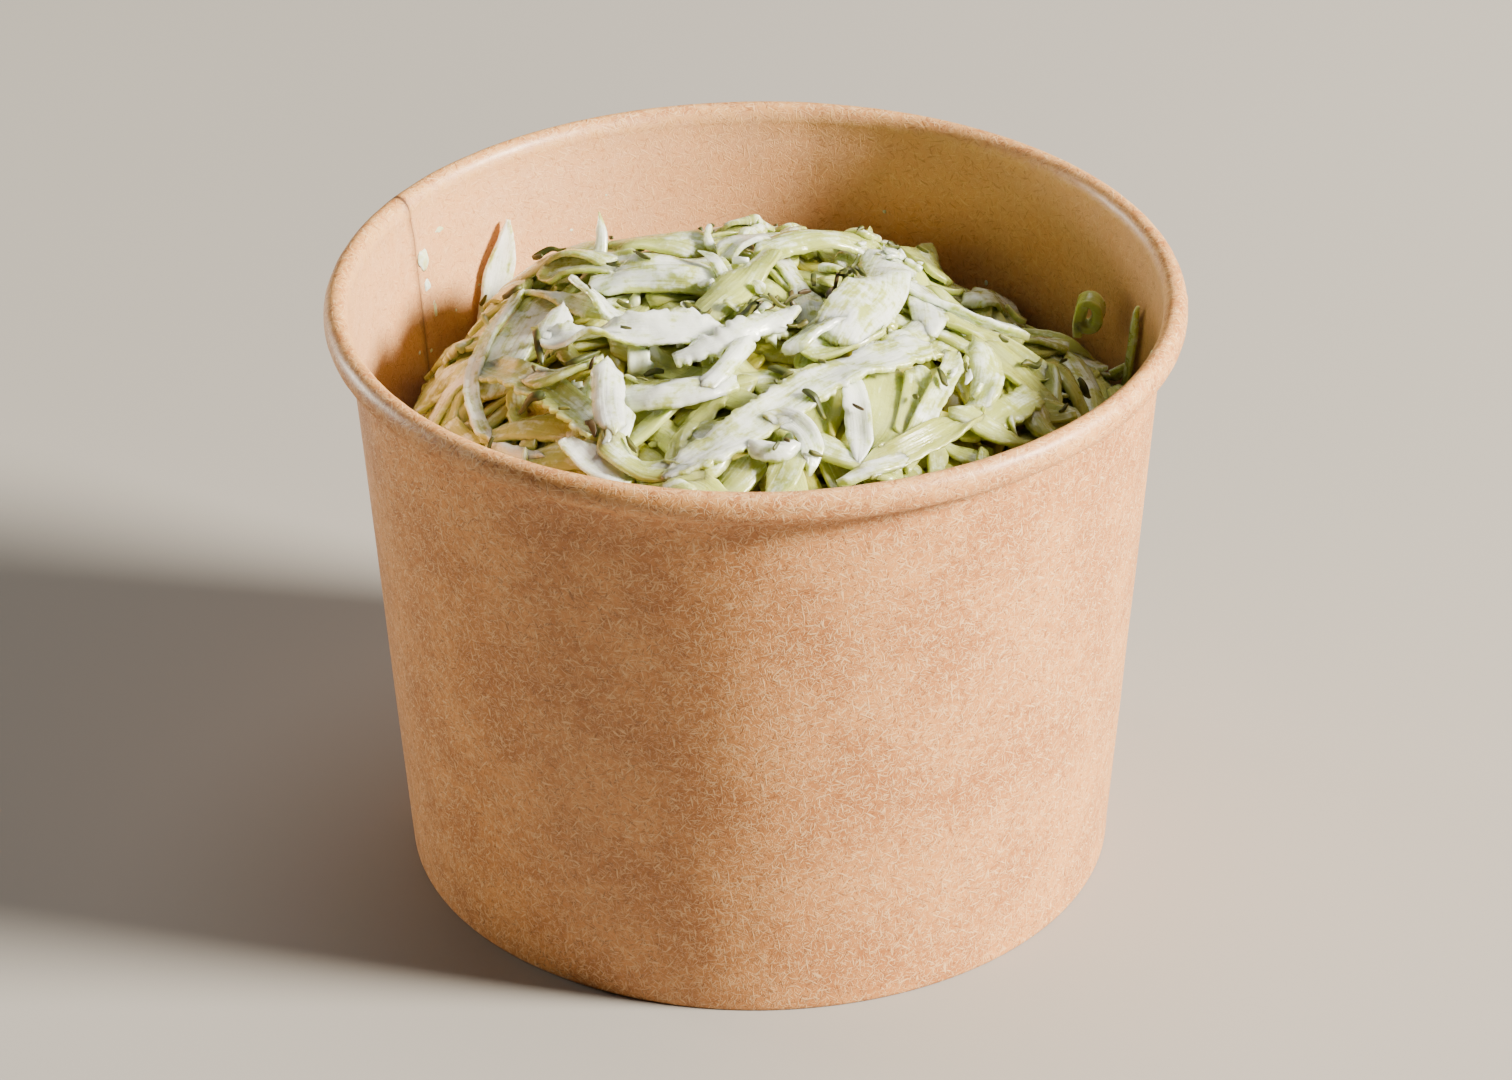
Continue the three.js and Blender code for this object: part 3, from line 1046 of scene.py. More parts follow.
@dataclass(frozen=True)
class HeapForm:
    """The heap's bare form: a crest that falls to the wall by a different amount each way."""

    crest: Triple = (-2.0, 7.0, 67.2)
    reach: float = 43.4
    fall: float = 0.78
    right: Side = Side(52, 2.2)
    back: Side = Side(48, 2.0)
    left: Side = Side(43, 2.9)
    front: Side = Side(56, 2.2)
    humps: tuple[Hump, ...] = (
        Hump(-25, 19, 7.5, 2.4),
        Hump(-31, 6, 6, 0.4),
        Hump(0, 25, 4.5, 2.2),
        Hump(14, 25, 5.5, 2.0),
        Hump(26.5, 17.5, 8, -5.2),
    )

    def top(self, x: Array, y: Array) -> Array:
        """Height of the bare heap over plan points.

        Args:
            x: plan places along X.
            y: plan places along Y.

        Returns:
            Heights in millimetres.
        """
        x, y = np.asarray(x, float), np.asarray(y, float)
        crest_x, crest_y, crest_z = self.crest
        dx, dy = x - crest_x, y - crest_y
        distance = np.maximum(np.hypot(dx, dy), 1e-6)
        ux, uy = dx / distance, dy / distance
        along = crest_x * ux + crest_y * uy
        reach = np.sqrt(along**2 - crest_x**2 - crest_y**2 + self.reach**2) - along
        edge, square = 0.0, 0.0
        for side, share in (
            (self.right, np.maximum(ux, 0) ** 2),
            (self.back, np.maximum(uy, 0) ** 2),
            (self.left, np.maximum(-ux, 0) ** 2),
            (self.front, np.maximum(-uy, 0) ** 2),
        ):
            edge = edge + side.edge * share
            square = square + side.square * share
        outward = np.minimum(distance / reach, 1)
        height = edge + (crest_z - edge) * (1 - outward**square) ** self.fall
        return height + sum(hump.over(x, y) for hump in self.humps)


@dataclass(frozen=True)
class Shred:
    """One strip or leaf of cabbage.

    Place, heading (degrees from +X towards +Y) and bend (degrees turned along its length)
    are in plan; lift is its height over the bare heap at its start, middle and end. Its ends
    narrow over the lengths given, or over a length of their own where that is 0.
    """

    x: float
    y: float
    heading: float
    length: float
    width: float
    bend: float = 0.0
    lift: Triple = (0.0, 0.0, 0.0)
    roll: float = 0.0
    coat: float = 0.8
    tone: float = 0.25
    tooth: float = 0.25
    thickness: float = 0.7
    stiff: int = 14
    ends: tuple[float, float] = (0.0, 0.0)


PALE_PLACES = (
    # where the dressing is thickest: x, y and reach
    (-15, -5, 13),
    (-2, -6, 9),
    (12, 1, 10),
    (-16, -23, 6),
    (4, -27, 5),
    (22, 4, 5),
)

CRUMB_PLACES = (
    # where small broken bits lie: x, y, spread and how many
    (15.6, 15.6, 1.6, 16),
    (-3, 4, 2.2, 3),
    (24, -12, 1.8, 3),
    (-5, -5, 3.5, 3),
)

TOP_SHREDS = (
    # the shaded left flank and the back
    Shred(-35, -2, -124, 13, 4.8, 0, (0, 0.6, -0.6), coat=0.75, tone=0.0),
    Shred(-27.5, 1, -120, 16, 6, 0, (0.4, 0.9, 0.2), coat=0.75, tone=0.0),
    Shred(-29, 18, -75, 13, 4.2, 20, (0.4, 0.8, 0.4), coat=0.35, tone=0.3),
    Shred(-27.5, 24, 42, 13, 5, -35, (-0.4, 0.8, -0.2), coat=0.45, tone=0.25),
    Shred(-19.5, 28, 16, 13, 5, -25, (-0.4, 0.8, -0.4), coat=0.45, tone=0.3),
    Shred(-23, 22, 5, 14, 6.5, -30, (0.4, 1.2, 0.6), coat=0.5, tone=0.3, ends=(3.0, 2.0)),
    Shred(-11, 19, -6, 13, 5.8, -35, (0.6, 1.4, 0.8), coat=0.5, tone=0.3, ends=(2.0, 3.0)),
    Shred(-19, 12, -16, 13, 5.6, 14, (0.4, 1, 0.6), coat=0.6, tone=0.3, ends=(2.5, 2.5)),
    Shred(-9, 10, -12, 14, 6, -20, (0.4, 1, 0.6), coat=0.65, tone=0.3, ends=(2.5, 2.5)),
    Shred(-10, 8.5, -6, 12, 4, -10, (1.2, 1.8, 1.2), coat=0.85, ends=(2.0, 3.0)),
    Shred(-22, 16, -20, 14, 4.2, -24, (0.8, 1.6, 0.8), coat=0.45, tone=0.35),
    Shred(8, 16, 16, 18, 4.2, -30, (1.6, 3.0, 1.8), coat=0.5, tone=0.4),
    Shred(-29, 9.5, 172, 8, 2.4, 15, (1.2, 1.6, 1.2), coat=0.3, tone=0.3),
    # the shaded right side, whose low coat and green tone also paint part of its shade
    Shred(35, -2, -65, 12, 3.4, 20, (-2, 1.8, -2), coat=0.1, tone=0.6),
    Shred(33.5, -5, -85, 9, 2.4, -30, (1, 0.6, -1), coat=0.1, tone=0.5),
    # low in the front
    Shred(7, -20, -105, 11, 5.4, -20, (0.2, 0.5, -0.3), coat=0.15, tone=0.5),
    Shred(-4, -15, 3, 9, 3.6, 80, (-1.5, -1, -0.5), coat=0.1, tone=0.8),
    Shred(-25, -16, -28, 13, 3.8, -10, (-0.3, 0.6, -0.3), coat=0.35, tone=0.2),
    Shred(-22, -22, -20, 12, 3.8, 0, (-0.5, 0.4, -0.5), coat=0.35, tone=0.2),
    Shred(-27, -19, -44, 9, 1.5, 20, (0, 0.7, -0.3), coat=1.0),
    Shred(-2, -25, 37, 18, 3.2, 20, (0, 1.5, 1), coat=0.5, tone=0.4),
    Shred(-1.5, -29.5, -130, 7, 3.8, -40, (1, 0.6, -1), coat=0.35, tone=0.45),
    Shred(10, -27.5, -22, 11, 3.2, 42, (0.8, 1.4, -0.2), coat=0.45, tone=0.35),
    Shred(3, -30.5, -112, 7, 3.8, -30, (2, 1.5, 0), coat=0.6),
    # the upper left
    Shred(-11, 6, -11, 17, 3.4, -12, (0.6, 1.8, 0.8), coat=0.8),
    Shred(-22, 5, -48, 15, 3.6, 30, (-0.6, 1.6, 0.6), coat=0.7),
    Shred(-24, -12, -52, 25, 4.6, 0, (0.6, 1.8, 0.6), coat=0.6, tone=0.0, tooth=0.9),
    Shred(-32, -3, -100, 26, 1.9, 68, (1.8, 2.6, 0.6), -20, coat=0.8),
    Shred(-21.5, -11, 8, 11, 3.8, 110, (0.8, 2.3, 0.8), coat=0.75),
    # the right shoulder and the fan of leaves under the broad band
    # these two lie in the right wall's shadow; their low coat and green tone also paint part of it
    Shred(27.5, 0, -26, 14, 3.2, -25, (1.2, 1.1, -0.2), coat=0.2, tone=0.7),
    Shred(29.5, -5, -49, 11, 3.8, -9, (0.5, 0.7, -0.8), coat=0.15, tone=0.8),
    Shred(19.5, 5, -79, 14, 4.4, -12, (1.3, 1.5, 0.7), coat=0.75),
    Shred(10.5, -7.5, 32, 12, 4, 60, (1, 1.2, 1), coat=0.5, tone=0.35),
    Shred(14, -18.5, -105, 14, 6, -15, (1.2, 1.5, 0), coat=0.1, tone=0.45),
    Shred(17.5, -17, -103, 13, 3.2, -14, (1.5, 1.6, 0), coat=0.3, tone=0.3),
    Shred(28, -14.5, -128, 15, 3.8, -33, (0.6, 1.4, 0), coat=0.35, tone=0.35, tooth=0.7),
    # the pale middle
    Shred(-9, -18, 3, 15, 4.2, 80, (1, 2.2, 1.2), coat=0.9),
    Shred(-15.5, -23.5, -108, 10, 3, -45, (2, 2, 0), -20, coat=0.9),
    Shred(-16.5, -17.5, -86, 13, 3.6, 8, (2.8, 3.3, 2.5), -24, coat=1.1),
    Shred(-18, -26.5, -44, 11, 3.2, 60, (2, 1.8, 0), -26, coat=1.0),
    Shred(-18.5, 2.5, -66, 11, 4.2, 12, (2, 2.6, 1.4), -20, coat=0.95),
    Shred(-22.5, -3, 70, 7, 3.6, 25, (2.8, 3.6, 3.2), 26, coat=1.1, tooth=0.6),
    Shred(-14, -7, 0, 21, 4.6, 45, (3.2, 3.2, 1.4), coat=1.05, tooth=1.3),
    Shred(9, -4, -121, 18, 4.4, -38, (2.2, 2.8, 1.8), coat=0.9, tooth=1.1),
    Shred(-1.5, -8.5, 33, 17, 3.6, 60, (1.6, 3.0, 1.8), coat=0.95, tooth=1.2),
    Shred(-3, -14, -123, 10, 2.4, -26, (2.6, 2.8, 1.6), coat=0.95),
    # the crest
    Shred(-1.5, 4, -120, 17, 4.6, -30, (2.4, 2.6, 1), coat=0.2, tone=0.4),
    Shred(-4.5, 7, 123, 6, 1.7, 38, (1, 3, 4.6), coat=0.8),
    Shred(-1, 15, 24, 8, 3.8, -40, (0.5, 2.4, 0.5), coat=0.85),
    Shred(13.8, 4, -103, 27, 7, -16, (2.6, 2.8, 1.8), coat=0.85, ends=(2.0, 1.0)),
    # the front
    Shred(-11.5, -29, -21, 18, 3.8, 120, (1.6, 1.2, 1.6), coat=0.5, tone=0.3),
    Shred(5, -20.4, 36, 38, 5, 9, (1, 3.4, 3), coat=0.8, tooth=0.7, ends=(5.0, 2.0)),
    Shred(20, -16.8, -111, 18, 2.6, -18, (2.8, 2.6, 0.3), coat=0.6),
    Shred(26, -10.3, -90, 13, 3.9, -62, (3, 2.5, 0), coat=0.6),
    Shred(19, -23.5, 45, 20, 3.5, 20, (0.4, 2.1, 1.4), coat=0.1, tone=0.8),
    Shred(25.8, -19.5, 0, 10, 2.9, 90, (2, 2.1, 0.5), coat=0.45, tooth=0.9),
    Shred(11.3, -22.8, -84, 12, 3, -28, (2.4, 2.9, 0.6), coat=1.0),
    Shred(13, -29, 26, 9, 2, 28, (0.5, 1.1, 0.5), coat=0.8),
    Shred(1.6, -29.3, -11, 7, 2.4, 110, (2.5, 3, 3), coat=1.0),
    Shred(5, -25.5, -50, 10, 2.6, -130, (2.4, 3, 1), coat=0.95),
    Shred(22.5, 5, -21, 18, 2.6, 40, (1.8, 2.2, 2.2), coat=0.95, tooth=0.1, ends=(2.0, 4.0)),
    # a sliver that stands up at the back
    Shred(-18, 17, 90, 5, 1.6, 0, (-2, 1.6, 5.5), coat=0.9),
)

HERBS = (
    # threads, needles and bits of leaf that lie on top of the heap
    Shred(-24.8, -5.1, -101, 7.5, 0.55, 25, tone=0.1),
    Shred(-28, 9, -10, 2.4, 1.3, 0, tone=0.2),
    Shred(-24, 19, -5, 4.0, 0.6, -20, tone=0.3),
    Shred(-16.4, 9.2, -33, 1.8, 1.0, 0, tone=0.3),
    Shred(-13, 9.6, -43, 2.4, 0.6, 0, tone=0.4),
    Shred(-15.1, 3.9, -16, 1.8, 0.6, 0, tone=0.4),
    Shred(-18.9, 1.4, -66, 1.0, 0.6, 0, tone=0.7),
    Shred(-7.2, -2.3, -40, 2.9, 1.1, 0, tone=0.3),
    Shred(-6, -3.8, 20, 1.8, 0.8, 0, tone=0.6),
    Shred(-14.6, -7.9, -19, 1.3, 0.6, 0, tone=0.4),
    Shred(-11.6, -10.8, 9, 2.2, 0.6, 0, tone=0.4),
    Shred(-19.3, -10.9, 40, 4.4, 0.9, 30, tone=0.1),
    Shred(-18.3, -11.6, 63, 1.2, 0.9, 0, tone=0.9),
    Shred(-25.1, -14.7, -36, 3.4, 0.8, 0, tone=0.2),
    Shred(-21.4, -18.3, 3, 1.3, 0.8, 0, tone=0.3),
    Shred(-18.4, -22, -57, 2.7, 0.7, 0, tone=0.9),
    Shred(-13.9, -25.2, -58, 2.2, 0.8, 0, tone=0.5),
    Shred(6.6, 8.3, -102, 3.2, 0.5, 0, tone=0.3),
    Shred(8.7, 5.8, 66, 2.4, 1.1, 0, tone=0.9),
    Shred(10.1, 5.1, 82, 5.2, 0.7, 10, tone=0.1),
    Shred(11, 5.3, 88, 4.6, 0.8, -8, tone=0.2),
    Shred(11.9, 5.6, 96, 3.6, 0.6, -15, tone=0.1),
    Shred(4.4, -1.9, 47, 1.3, 0.7, 0, tone=0.8),
    Shred(5.1, -6.2, 15, 1.5, 0.8, 0, tone=0.7),
    Shred(2.7, -12.8, -32, 3.1, 1.2, 0, tone=0.2),
    Shred(3.4, -14, 20, 1.6, 0.8, 0, tone=0.3),
    Shred(6.1, -14.3, -24, 0.9, 0.6, 0, tone=0.5),
    Shred(7.3, -15.8, -24, 0.9, 0.5, 0, tone=0.5),
    Shred(31.5, -3.5, 53, 3.6, 0.9, 40, tone=0.4),
    Shred(28.2, -0.4, 7, 1.1, 0.6, 0, tone=0.2),
    Shred(6.3, -21.9, -31, 3, 0.7, 0, tone=0.3),
    Shred(20.7, -15.2, -56, 2.4, 1.2, 0, tone=0.2),
    Shred(37.4, -1.5, -29, 1.4, 0.8, 0, tone=0.4),
)


@dataclass(frozen=True)
class Drop:
    """A dab of dressing on the cup: azimuth and height of its middle, width and height."""

    azimuth: float
    z: float
    width: float
    tall: float


WALL_DROPS = (
    Drop(144.6, 65.1, 2.2, 1.0),
    Drop(149.0, 62.8, 2.2, 3.0),
    Drop(148.6, 59.3, 1.6, 1.9),
    Drop(147.3, 55.6, 1.0, 3.0),
    Drop(153.1, 52.2, 0.6, 0.6),
    Drop(149.8, 51.3, 0.5, 0.5),
    Drop(148.3, 48.6, 0.6, 0.5),
    Drop(142.4, 54.0, 0.5, 0.6),
    Drop(136.9, 55.6, 0.6, 0.5),
    Drop(119.2, 58.3, 0.5, 0.4),
    Drop(113.1, 61.8, 0.5, 0.4),
    Drop(69.9, 58.9, 0.5, 0.5),
    Drop(51.9, 52.9, 0.5, 0.6),
)

RIM_DROP = Drop(-19.0, 70.35, 1.4, 0.9)


@dataclass(frozen=True)
class LayerSizes:
    """What the strewn shreds of one layer are like, and which mesh they belong to."""

    store: str
    seed: int
    tries: int
    ceiling: float
    length: Pair
    width: Pair
    coat: Pair
    tone: Pair
    spacing: float
    across: int


class Layer(Enum):
    """The layers of strewn shreds, from the lowest."""

    DEEP = LayerSizes(
        "deep", 101, 420, -1.8, (10, 26), (2.2, 4.6), (0.0, 0.2), (0.3, 1.0), 1.0, 4
    )
    UPPER = LayerSizes(
        "upper", 202, 330, 0.1, (10, 24), (2.0, 4.4), (0.1, 0.6), (0.1, 0.8), 0.7, 5
    )
    SCRAPS = LayerSizes(
        "top", 303, 40, 1.6, (2.0, 5.0), (0.8, 1.8), (0.4, 1.0), (0.1, 0.5), 0.45, 4
    )


@dataclass
class Ribbon:
    """A strip ready to be skinned: its line, tilt, widths and finish values."""

    line: Array
    tilt: Array
    left: Array
    right: Array
    shred: Shred
    seed: int
    across: int
    side: Optional[Array] = None


@dataclass
class Pile:
    """A height map of what has been laid so far, which each new shred drapes over.

    It starts on a lumpy floor, its depth below the heap's form. A shred feels the pile at its
    middle and at an arm's share of its half width to each side. A placed one keeps to its own
    lift, but may sink in or give way by as much as is said. A strewn one sways more, and no
    place of it may poke further than is said over its ceiling.
    """

    heap: HeapForm
    depth: float = 4.6
    half: float = 46.0
    cell: float = 0.5
    arm: float = 0.75
    sink: float = 0.4
    give: float = 0.9
    poke: float = 1.2
    steepest: float = 0.8
    placed_sway: float = 6.0
    strewn_sway: float = 18.0
    calm_length: float = 1.7
    shade_from: float = 0.5
    shade_depth: float = 4.5
    form: Array = field(init=False)
    base: Array = field(init=False)
    height: Array = field(init=False)
    top: Array = field(init=False)

    def __post_init__(self) -> None:
        """Lays out the map and its floor."""
        places = np.linspace(-self.half, self.half, int(2 * self.half / self.cell) + 1)
        x, y = np.meshgrid(places, places, indexing="ij")
        away = np.hypot(x, y)
        beyond = self.heap.reach / np.maximum(away, 1.0) * 0.999
        shrink = np.where(away < self.heap.reach, 1.0, beyond)
        self.form = self.heap.top(x * shrink, y * shrink)
        lumps = smooth_noise(x / 5, y / 5, 3) + 0.6 * smooth_noise(x / 2.4, y / 2.4, 4)
        self.base = self.form - self.depth + 0.8 * lumps
        self.height = self.base.copy()
        self.top = self.height

    def settle(self) -> None:
        """Keeps the smoothed top of the pile as it is now."""
        self.top = blurred(self.height, 60)

    def read(self, x: Array, y: Array, heights: Optional[Array] = None) -> Array:
        """Height of the pile, or of another map, between its grid places.

        Args:
            x: plan places along X.
            y: plan places along Y.
            heights: the map, where it isn't the pile's own height.

        Returns:
            The heights.
        """
        source = self.height if heights is None else heights
        last = source.shape[0] - 1.001
        u = np.clip((np.asarray(x, float) + self.half) / self.cell, 0, last)
        v = np.clip((np.asarray(y, float) + self.half) / self.cell, 0, last)
        i, j = u.astype(int), v.astype(int)
        fu, fv = u - i, v - j
        near = source[i, j] * (1 - fu) + source[i + 1, j] * fu
        far = source[i, j + 1] * (1 - fu) + source[i + 1, j + 1] * fu
        return near * (1 - fv) + far * fv

    def shade(self, points: Array) -> Array:
        """How deep points lie below the smoothed top, from 0 to 1, which sets their painted shade.
        """
        level = self.read(points[:, 0], points[:, 1], self.top)
        return np.clip((level - points[:, 2] - self.shade_from) / self.shade_depth, 0, 1)

    def plan(self, shred: Shred, wiggle: float, seed: int, spacing: float) -> Array:
        """Plan places along a shred's middle line.

        Args:
            shred: the shred.
            wiggle: how far its heading sways, in degrees.
            seed: picks the sway.
            spacing: the distance between places.

        Returns:
            One row of x and y for each place.
        """
        steps = max(6, int(round(shred.length / spacing)))
        along = np.linspace(0, 1, steps + 1)
        sway = smooth_noise(along * shred.length / 6.0, seed * 1.7, seed) * wiggle
        turned = radians(shred.bend) * (along - 0.5)
        heading = radians(shred.heading) + turned + radians(1) * sway
        step = shred.length / steps
        middle = steps // 2
        rows = []
        for run, at in ((np.cos(heading) * step, shred.x), (np.sin(heading) * step, shred.y)):
            row = np.concatenate([[0], np.cumsum((run[1:] + run[:-1]) / 2)])
            rows.append(row - row[middle] + at)
        room = self.heap.reach - 0.45 * shred.width * 0.5 - 0.3
        inward = np.minimum(1, room / np.maximum(np.hypot(*rows), 1e-6))
        return np.stack([row * inward for row in rows], -1)

    def widths(self, shred: Shred, count: int, seed: int) -> tuple[Array, Array]:
        """Half widths on the left and right along a shred, with ragged edges and tapered ends.

        Args:
            shred: the shred.
            count: how many places it has.
            seed: picks the ragged pattern.

        Returns:
            The left and the right half widths.
        """
        along = np.linspace(0, shred.length, count)
        sides = []
        for side in (0, 1):
            calm = 1 if one_value(seed, side + 7, 91) > 0 else 0.2
            start, finish = (
                given or 0.3 + 3.4 * abs(one_value(seed, side + 3 * end, 92 + end)) ** 1.4
                for end, given in enumerate(shred.ends)
            )
            taper = np.clip(along / start, 0.04, 1) ** 0.8
            taper = taper * np.clip((shred.length - along) / finish, 0.04, 1) ** 0.8
            slow = 1 + 0.07 * smooth_noise(along / 5.5, seed + side * 9.0, seed)
            teeth = smooth_noise(along / 0.5, side * 5.0, seed + 17)
            bites = np.clip(smooth_noise(along / 1.3, side * 3.0, seed + 29) - 0.3, 0, 1)
            ragged = shred.tooth * (0.42 * teeth - 0.7 * bites) * calm
            wide = shred.width / 2 * taper * slow + ragged * np.sqrt(taper)
            sides.append(np.maximum(wide, 0.12))
        return sides[0], sides[1]

    def _rest(
        self, plan: Array, side: Array, left: Array, right: Array, calm: int
    ) -> tuple[Array, Array]:
        """What a shred rests on: the pile under its middle and under its two sides.

        Args:
            plan: its places.
            side: the direction across it at each place.
            left: its half widths on the left.
            right: its half widths on the right.
            calm: how often its slope is smoothed.

        Returns:
            The height that it needs and the slope across it, at each place.
        """
        high_left = self.read(*(plan + self.arm * left[:, None] * side).T)
        high_right = self.read(*(plan + -self.arm * right[:, None] * side).T)
        apart = np.maximum(self.arm * (left + right), 0.4)
        steep = np.clip((high_left - high_right) / apart, -self.steepest, self.steepest)
        slope = softened(steep, calm)
        over_left = high_left - slope * self.arm * left
        over_right = high_right + slope * self.arm * right
        return np.maximum.reduce([self.read(*plan.T), over_left, over_right]), slope

    def drape(
        self,
        shred: Shred,
        seed: int,
        spacing: float,
        across: int,
        ceiling: Optional[float] = None,
    ) -> Optional[Ribbon]:
        """Lays a shred over the pile, bridging narrow gaps, and raises the pile under it.

        Args:
            shred: the shred.
            seed: picks its small differences.
            spacing: the distance between places along it.
            across: how many points it has across.
            ceiling: how far over the heap's form it may end, on average. Without one, the
                shred keeps close to its own lift instead.

        Returns:
            The laid ribbon, or nothing where it would end too high.
        """
        springy = ceiling is None
        sway = self.placed_sway if springy else self.strewn_sway
        plan = self.plan(shred, sway, seed, spacing)
        left, right = self.widths(shred, len(plan), seed)
        run = unit(np.gradient(plan, axis=0))
        side = np.stack([-run[:, 1], run[:, 0]], -1)
        calm = int(2 * (self.calm_length / spacing) ** 2)
        need, slope = self._rest(plan, side, left, right, calm)
        form = self.read(*plan.T, self.form)
        if springy:
            s = np.linspace(0, 1, len(plan))
            start, centre, end = shred.lift
            lift = start * (1 - s) * (1 - 2 * s) + centre * 4 * s * (1 - s) + end * s * (2 * s - 1)
            lowest = form + lift
            taut = softened(np.clip(need - self.sink, lowest, lowest + self.give), calm)
        else:
            taut = need.copy()
            for _ in range(shred.stiff):
                eased = softened(taut, 1)
                eased[0] = 0.5 * (taut[0] + taut[1])
                eased[-1] = 0.5 * (taut[-1] + taut[-2])
                taut = np.maximum(need, eased)
            taut = softened(taut, 3)
            if np.mean(taut - form) > ceiling or np.max(taut - form) > ceiling + self.poke:
                return None
        line = np.column_stack([plan, taut + shred.thickness / 2])
        ribbon = Ribbon(line, np.arctan(slope), left, right, shred, seed, across)
        if abs(shred.roll) < 45:
            self._raise(ribbon, side)
        return ribbon

    def _raise(self, ribbon: Ribbon, side: Array) -> None:
        """Raises the height map to a ribbon's upper face.

        Args:
            ribbon: the ribbon.
            side: the direction across it at each place.
        """
        last = self.height.shape[0] - 1
        for part in np.linspace(-1, 1, 11):
            reach = np.where(part < 0, ribbon.right, ribbon.left) * part
            at = (ribbon.line[:, :2] + side * reach[:, None] + self.half) / self.cell
            i, j = np.clip(np.rint(at), 0, last).astype(int).T
            tilted = np.sin(ribbon.tilt) * reach
            upper = ribbon.line[:, 2] + tilted + ribbon.shred.thickness * 0.45
            np.maximum.at(self.height, (i, j), upper)


@dataclass(frozen=True)
class RibbonSkin:
    """Wraps ribbons in closed, relieved surfaces that stay inside the cup.

    The relief's heights are in millimetres, for a strip with a full coat of dressing.
    """

    pile: Pile
    cup: PaperCup
    wall_gap: float = 0.55
    rim_gap: float = 4.4
    rim_from: float = 64.0
    twist: float = 14.0
    ribs: float = 0.15
    lumps: Pair = (0.03, 0.08)
    fine_lumps: float = 0.09
    frill: Pair = (0.03, 0.025)
    clumps: float = 0.7

    def kept_inside(self, points: Array) -> Array:
        """Moves points off the cup's wall and rim.

        Args:
            points: the points, one row each.

        Returns:
            The moved points.
        """
        x, y, z = points.T
        wall = self.cup.inner(z) - self.wall_gap
        room = np.where(z > self.rim_from, self.cup.rim_radius - self.rim_gap, wall)
        inward = np.minimum(1, room / np.maximum(np.hypot(x, y), 1e-6))
        low = np.minimum(z, self.cup.height - 0.25)
        return np.column_stack([x * inward, y * inward, low])

    def _directions(self, ribbon: Ribbon, twist: float) -> tuple[Array, Array]:
        """Which way a ribbon's width and its face point.

        Args:
            ribbon: the ribbon.
            twist: how far each end is turned, in degrees.

        Returns:
            The directions across it and out of it, at each place.
        """
        count = len(ribbon.line)
        tangent = unit(np.gradient(ribbon.line, axis=0))
        flat = ribbon.side
        if flat is None:
            flat = np.stack([-tangent[:, 1], tangent[:, 0], np.zeros(count)], -1)
        flat = unit(flat)
        upward = np.cross(tangent, flat)
        turned = radians(ribbon.shred.roll) + radians(twist) * np.linspace(-1, 1, count)
        turn = (ribbon.tilt + turned)[:, None]
        side = flat * np.cos(turn) + upward * np.sin(turn)
        return side, np.cross(tangent, side)

    def wrap(self, ribbon: Ribbon, store: MeshStore) -> None:
        """Wraps one ribbon and adds it to a mesh.

        Args:
            ribbon: the ribbon.
            store: the mesh it goes to.
        """
        shred, seed, count = ribbon.shred, ribbon.seed, len(ribbon.line)
        draw = random.Random(seed)
        side, normal = self._directions(ribbon, draw.uniform(-self.twist, self.twist))
        curl = draw.choice((-1, 1, 1)) * draw.uniform(0.02, 0.14) * shred.width
        bevel = 1 - min(0.12, 0.1 / max(shred.width / 2, 0.1))
        face = np.concatenate([[-1], np.linspace(-bevel, bevel, ribbon.across - 2), [1]])
        v = np.concatenate([face, face[::-1]])
        facing = np.repeat([1.0, -1.0], ribbon.across)
        along = np.linspace(0, shred.length, count)[:, None]
        to_end = np.minimum(along, shred.length - along)
        offset = np.where(v < 0, ribbon.right[:, None], ribbon.left[:, None]) * v
        loaded = shred.coat * min(1.0, shred.length / 7)
        thick = shred.thickness / 2 * np.where(np.abs(v) > 0.99, 0.55, 1 - 0.12 * v**2)
        body = facing * thick * np.minimum(1, 0.6 + to_end / 1.5)
        bow = -curl * (v**2 - 0.35)
        ribs = self.ribs * smooth_noise(v * 2.4, along * 0.06, seed)
        swell = self.lumps[0] + self.lumps[1] * loaded
        lumps = swell * smooth_noise(offset * 0.6, along * 0.5, seed + 1)
        lumps += self.fine_lumps * loaded * smooth_noise(offset * 1.5, along * 1.2, seed + 8)
        wave = smooth_noise(along * 0.22, np.sign(v) * 4.0, seed + 2)
        frill = (self.frill[0] + self.frill[1] * shred.width) * v**2 * wave
        clump = np.clip(smooth_noise(offset * 0.55 + 3, along * 0.36, seed + 5) + 0.1, 0, 1)
        on_face = (facing > 0) * (1 - v**2)
        dressing = self.clumps * max(loaded - 0.4, 0) * clump * on_face
        rise = body + bow + ribs + lumps + frill + dressing
        points = ribbon.line[:, None, :] + side[:, None, :] * offset[..., None]
        points = points + normal[:, None, :] * rise[..., None]
        points = self.kept_inside(points.reshape(-1, 3))
        ends = np.clip(1 - to_end / 1.4, 0, 1)
        bare = 0.5 * np.abs(v) ** 3 + 0.5 * (facing < 0) + 0.3 * ends
        patchy = 0.6 + 0.4 * smooth_noise(along * 0.6, np.sign(v) * 3.0, seed + 9)
        coat = shred.coat - 0.7 * bare * patchy
        lay = np.stack(np.broadcast_arrays(along, offset, seed * 3.1), -1)
        store.add(
            points,
            tube_faces(count, len(v), flipped=True),
            shade=self.pile.shade(points),
            tone=np.full(len(points), shred.tone),
            coat=coat.ravel(),
            lay=lay.reshape(-1, 3),
        )


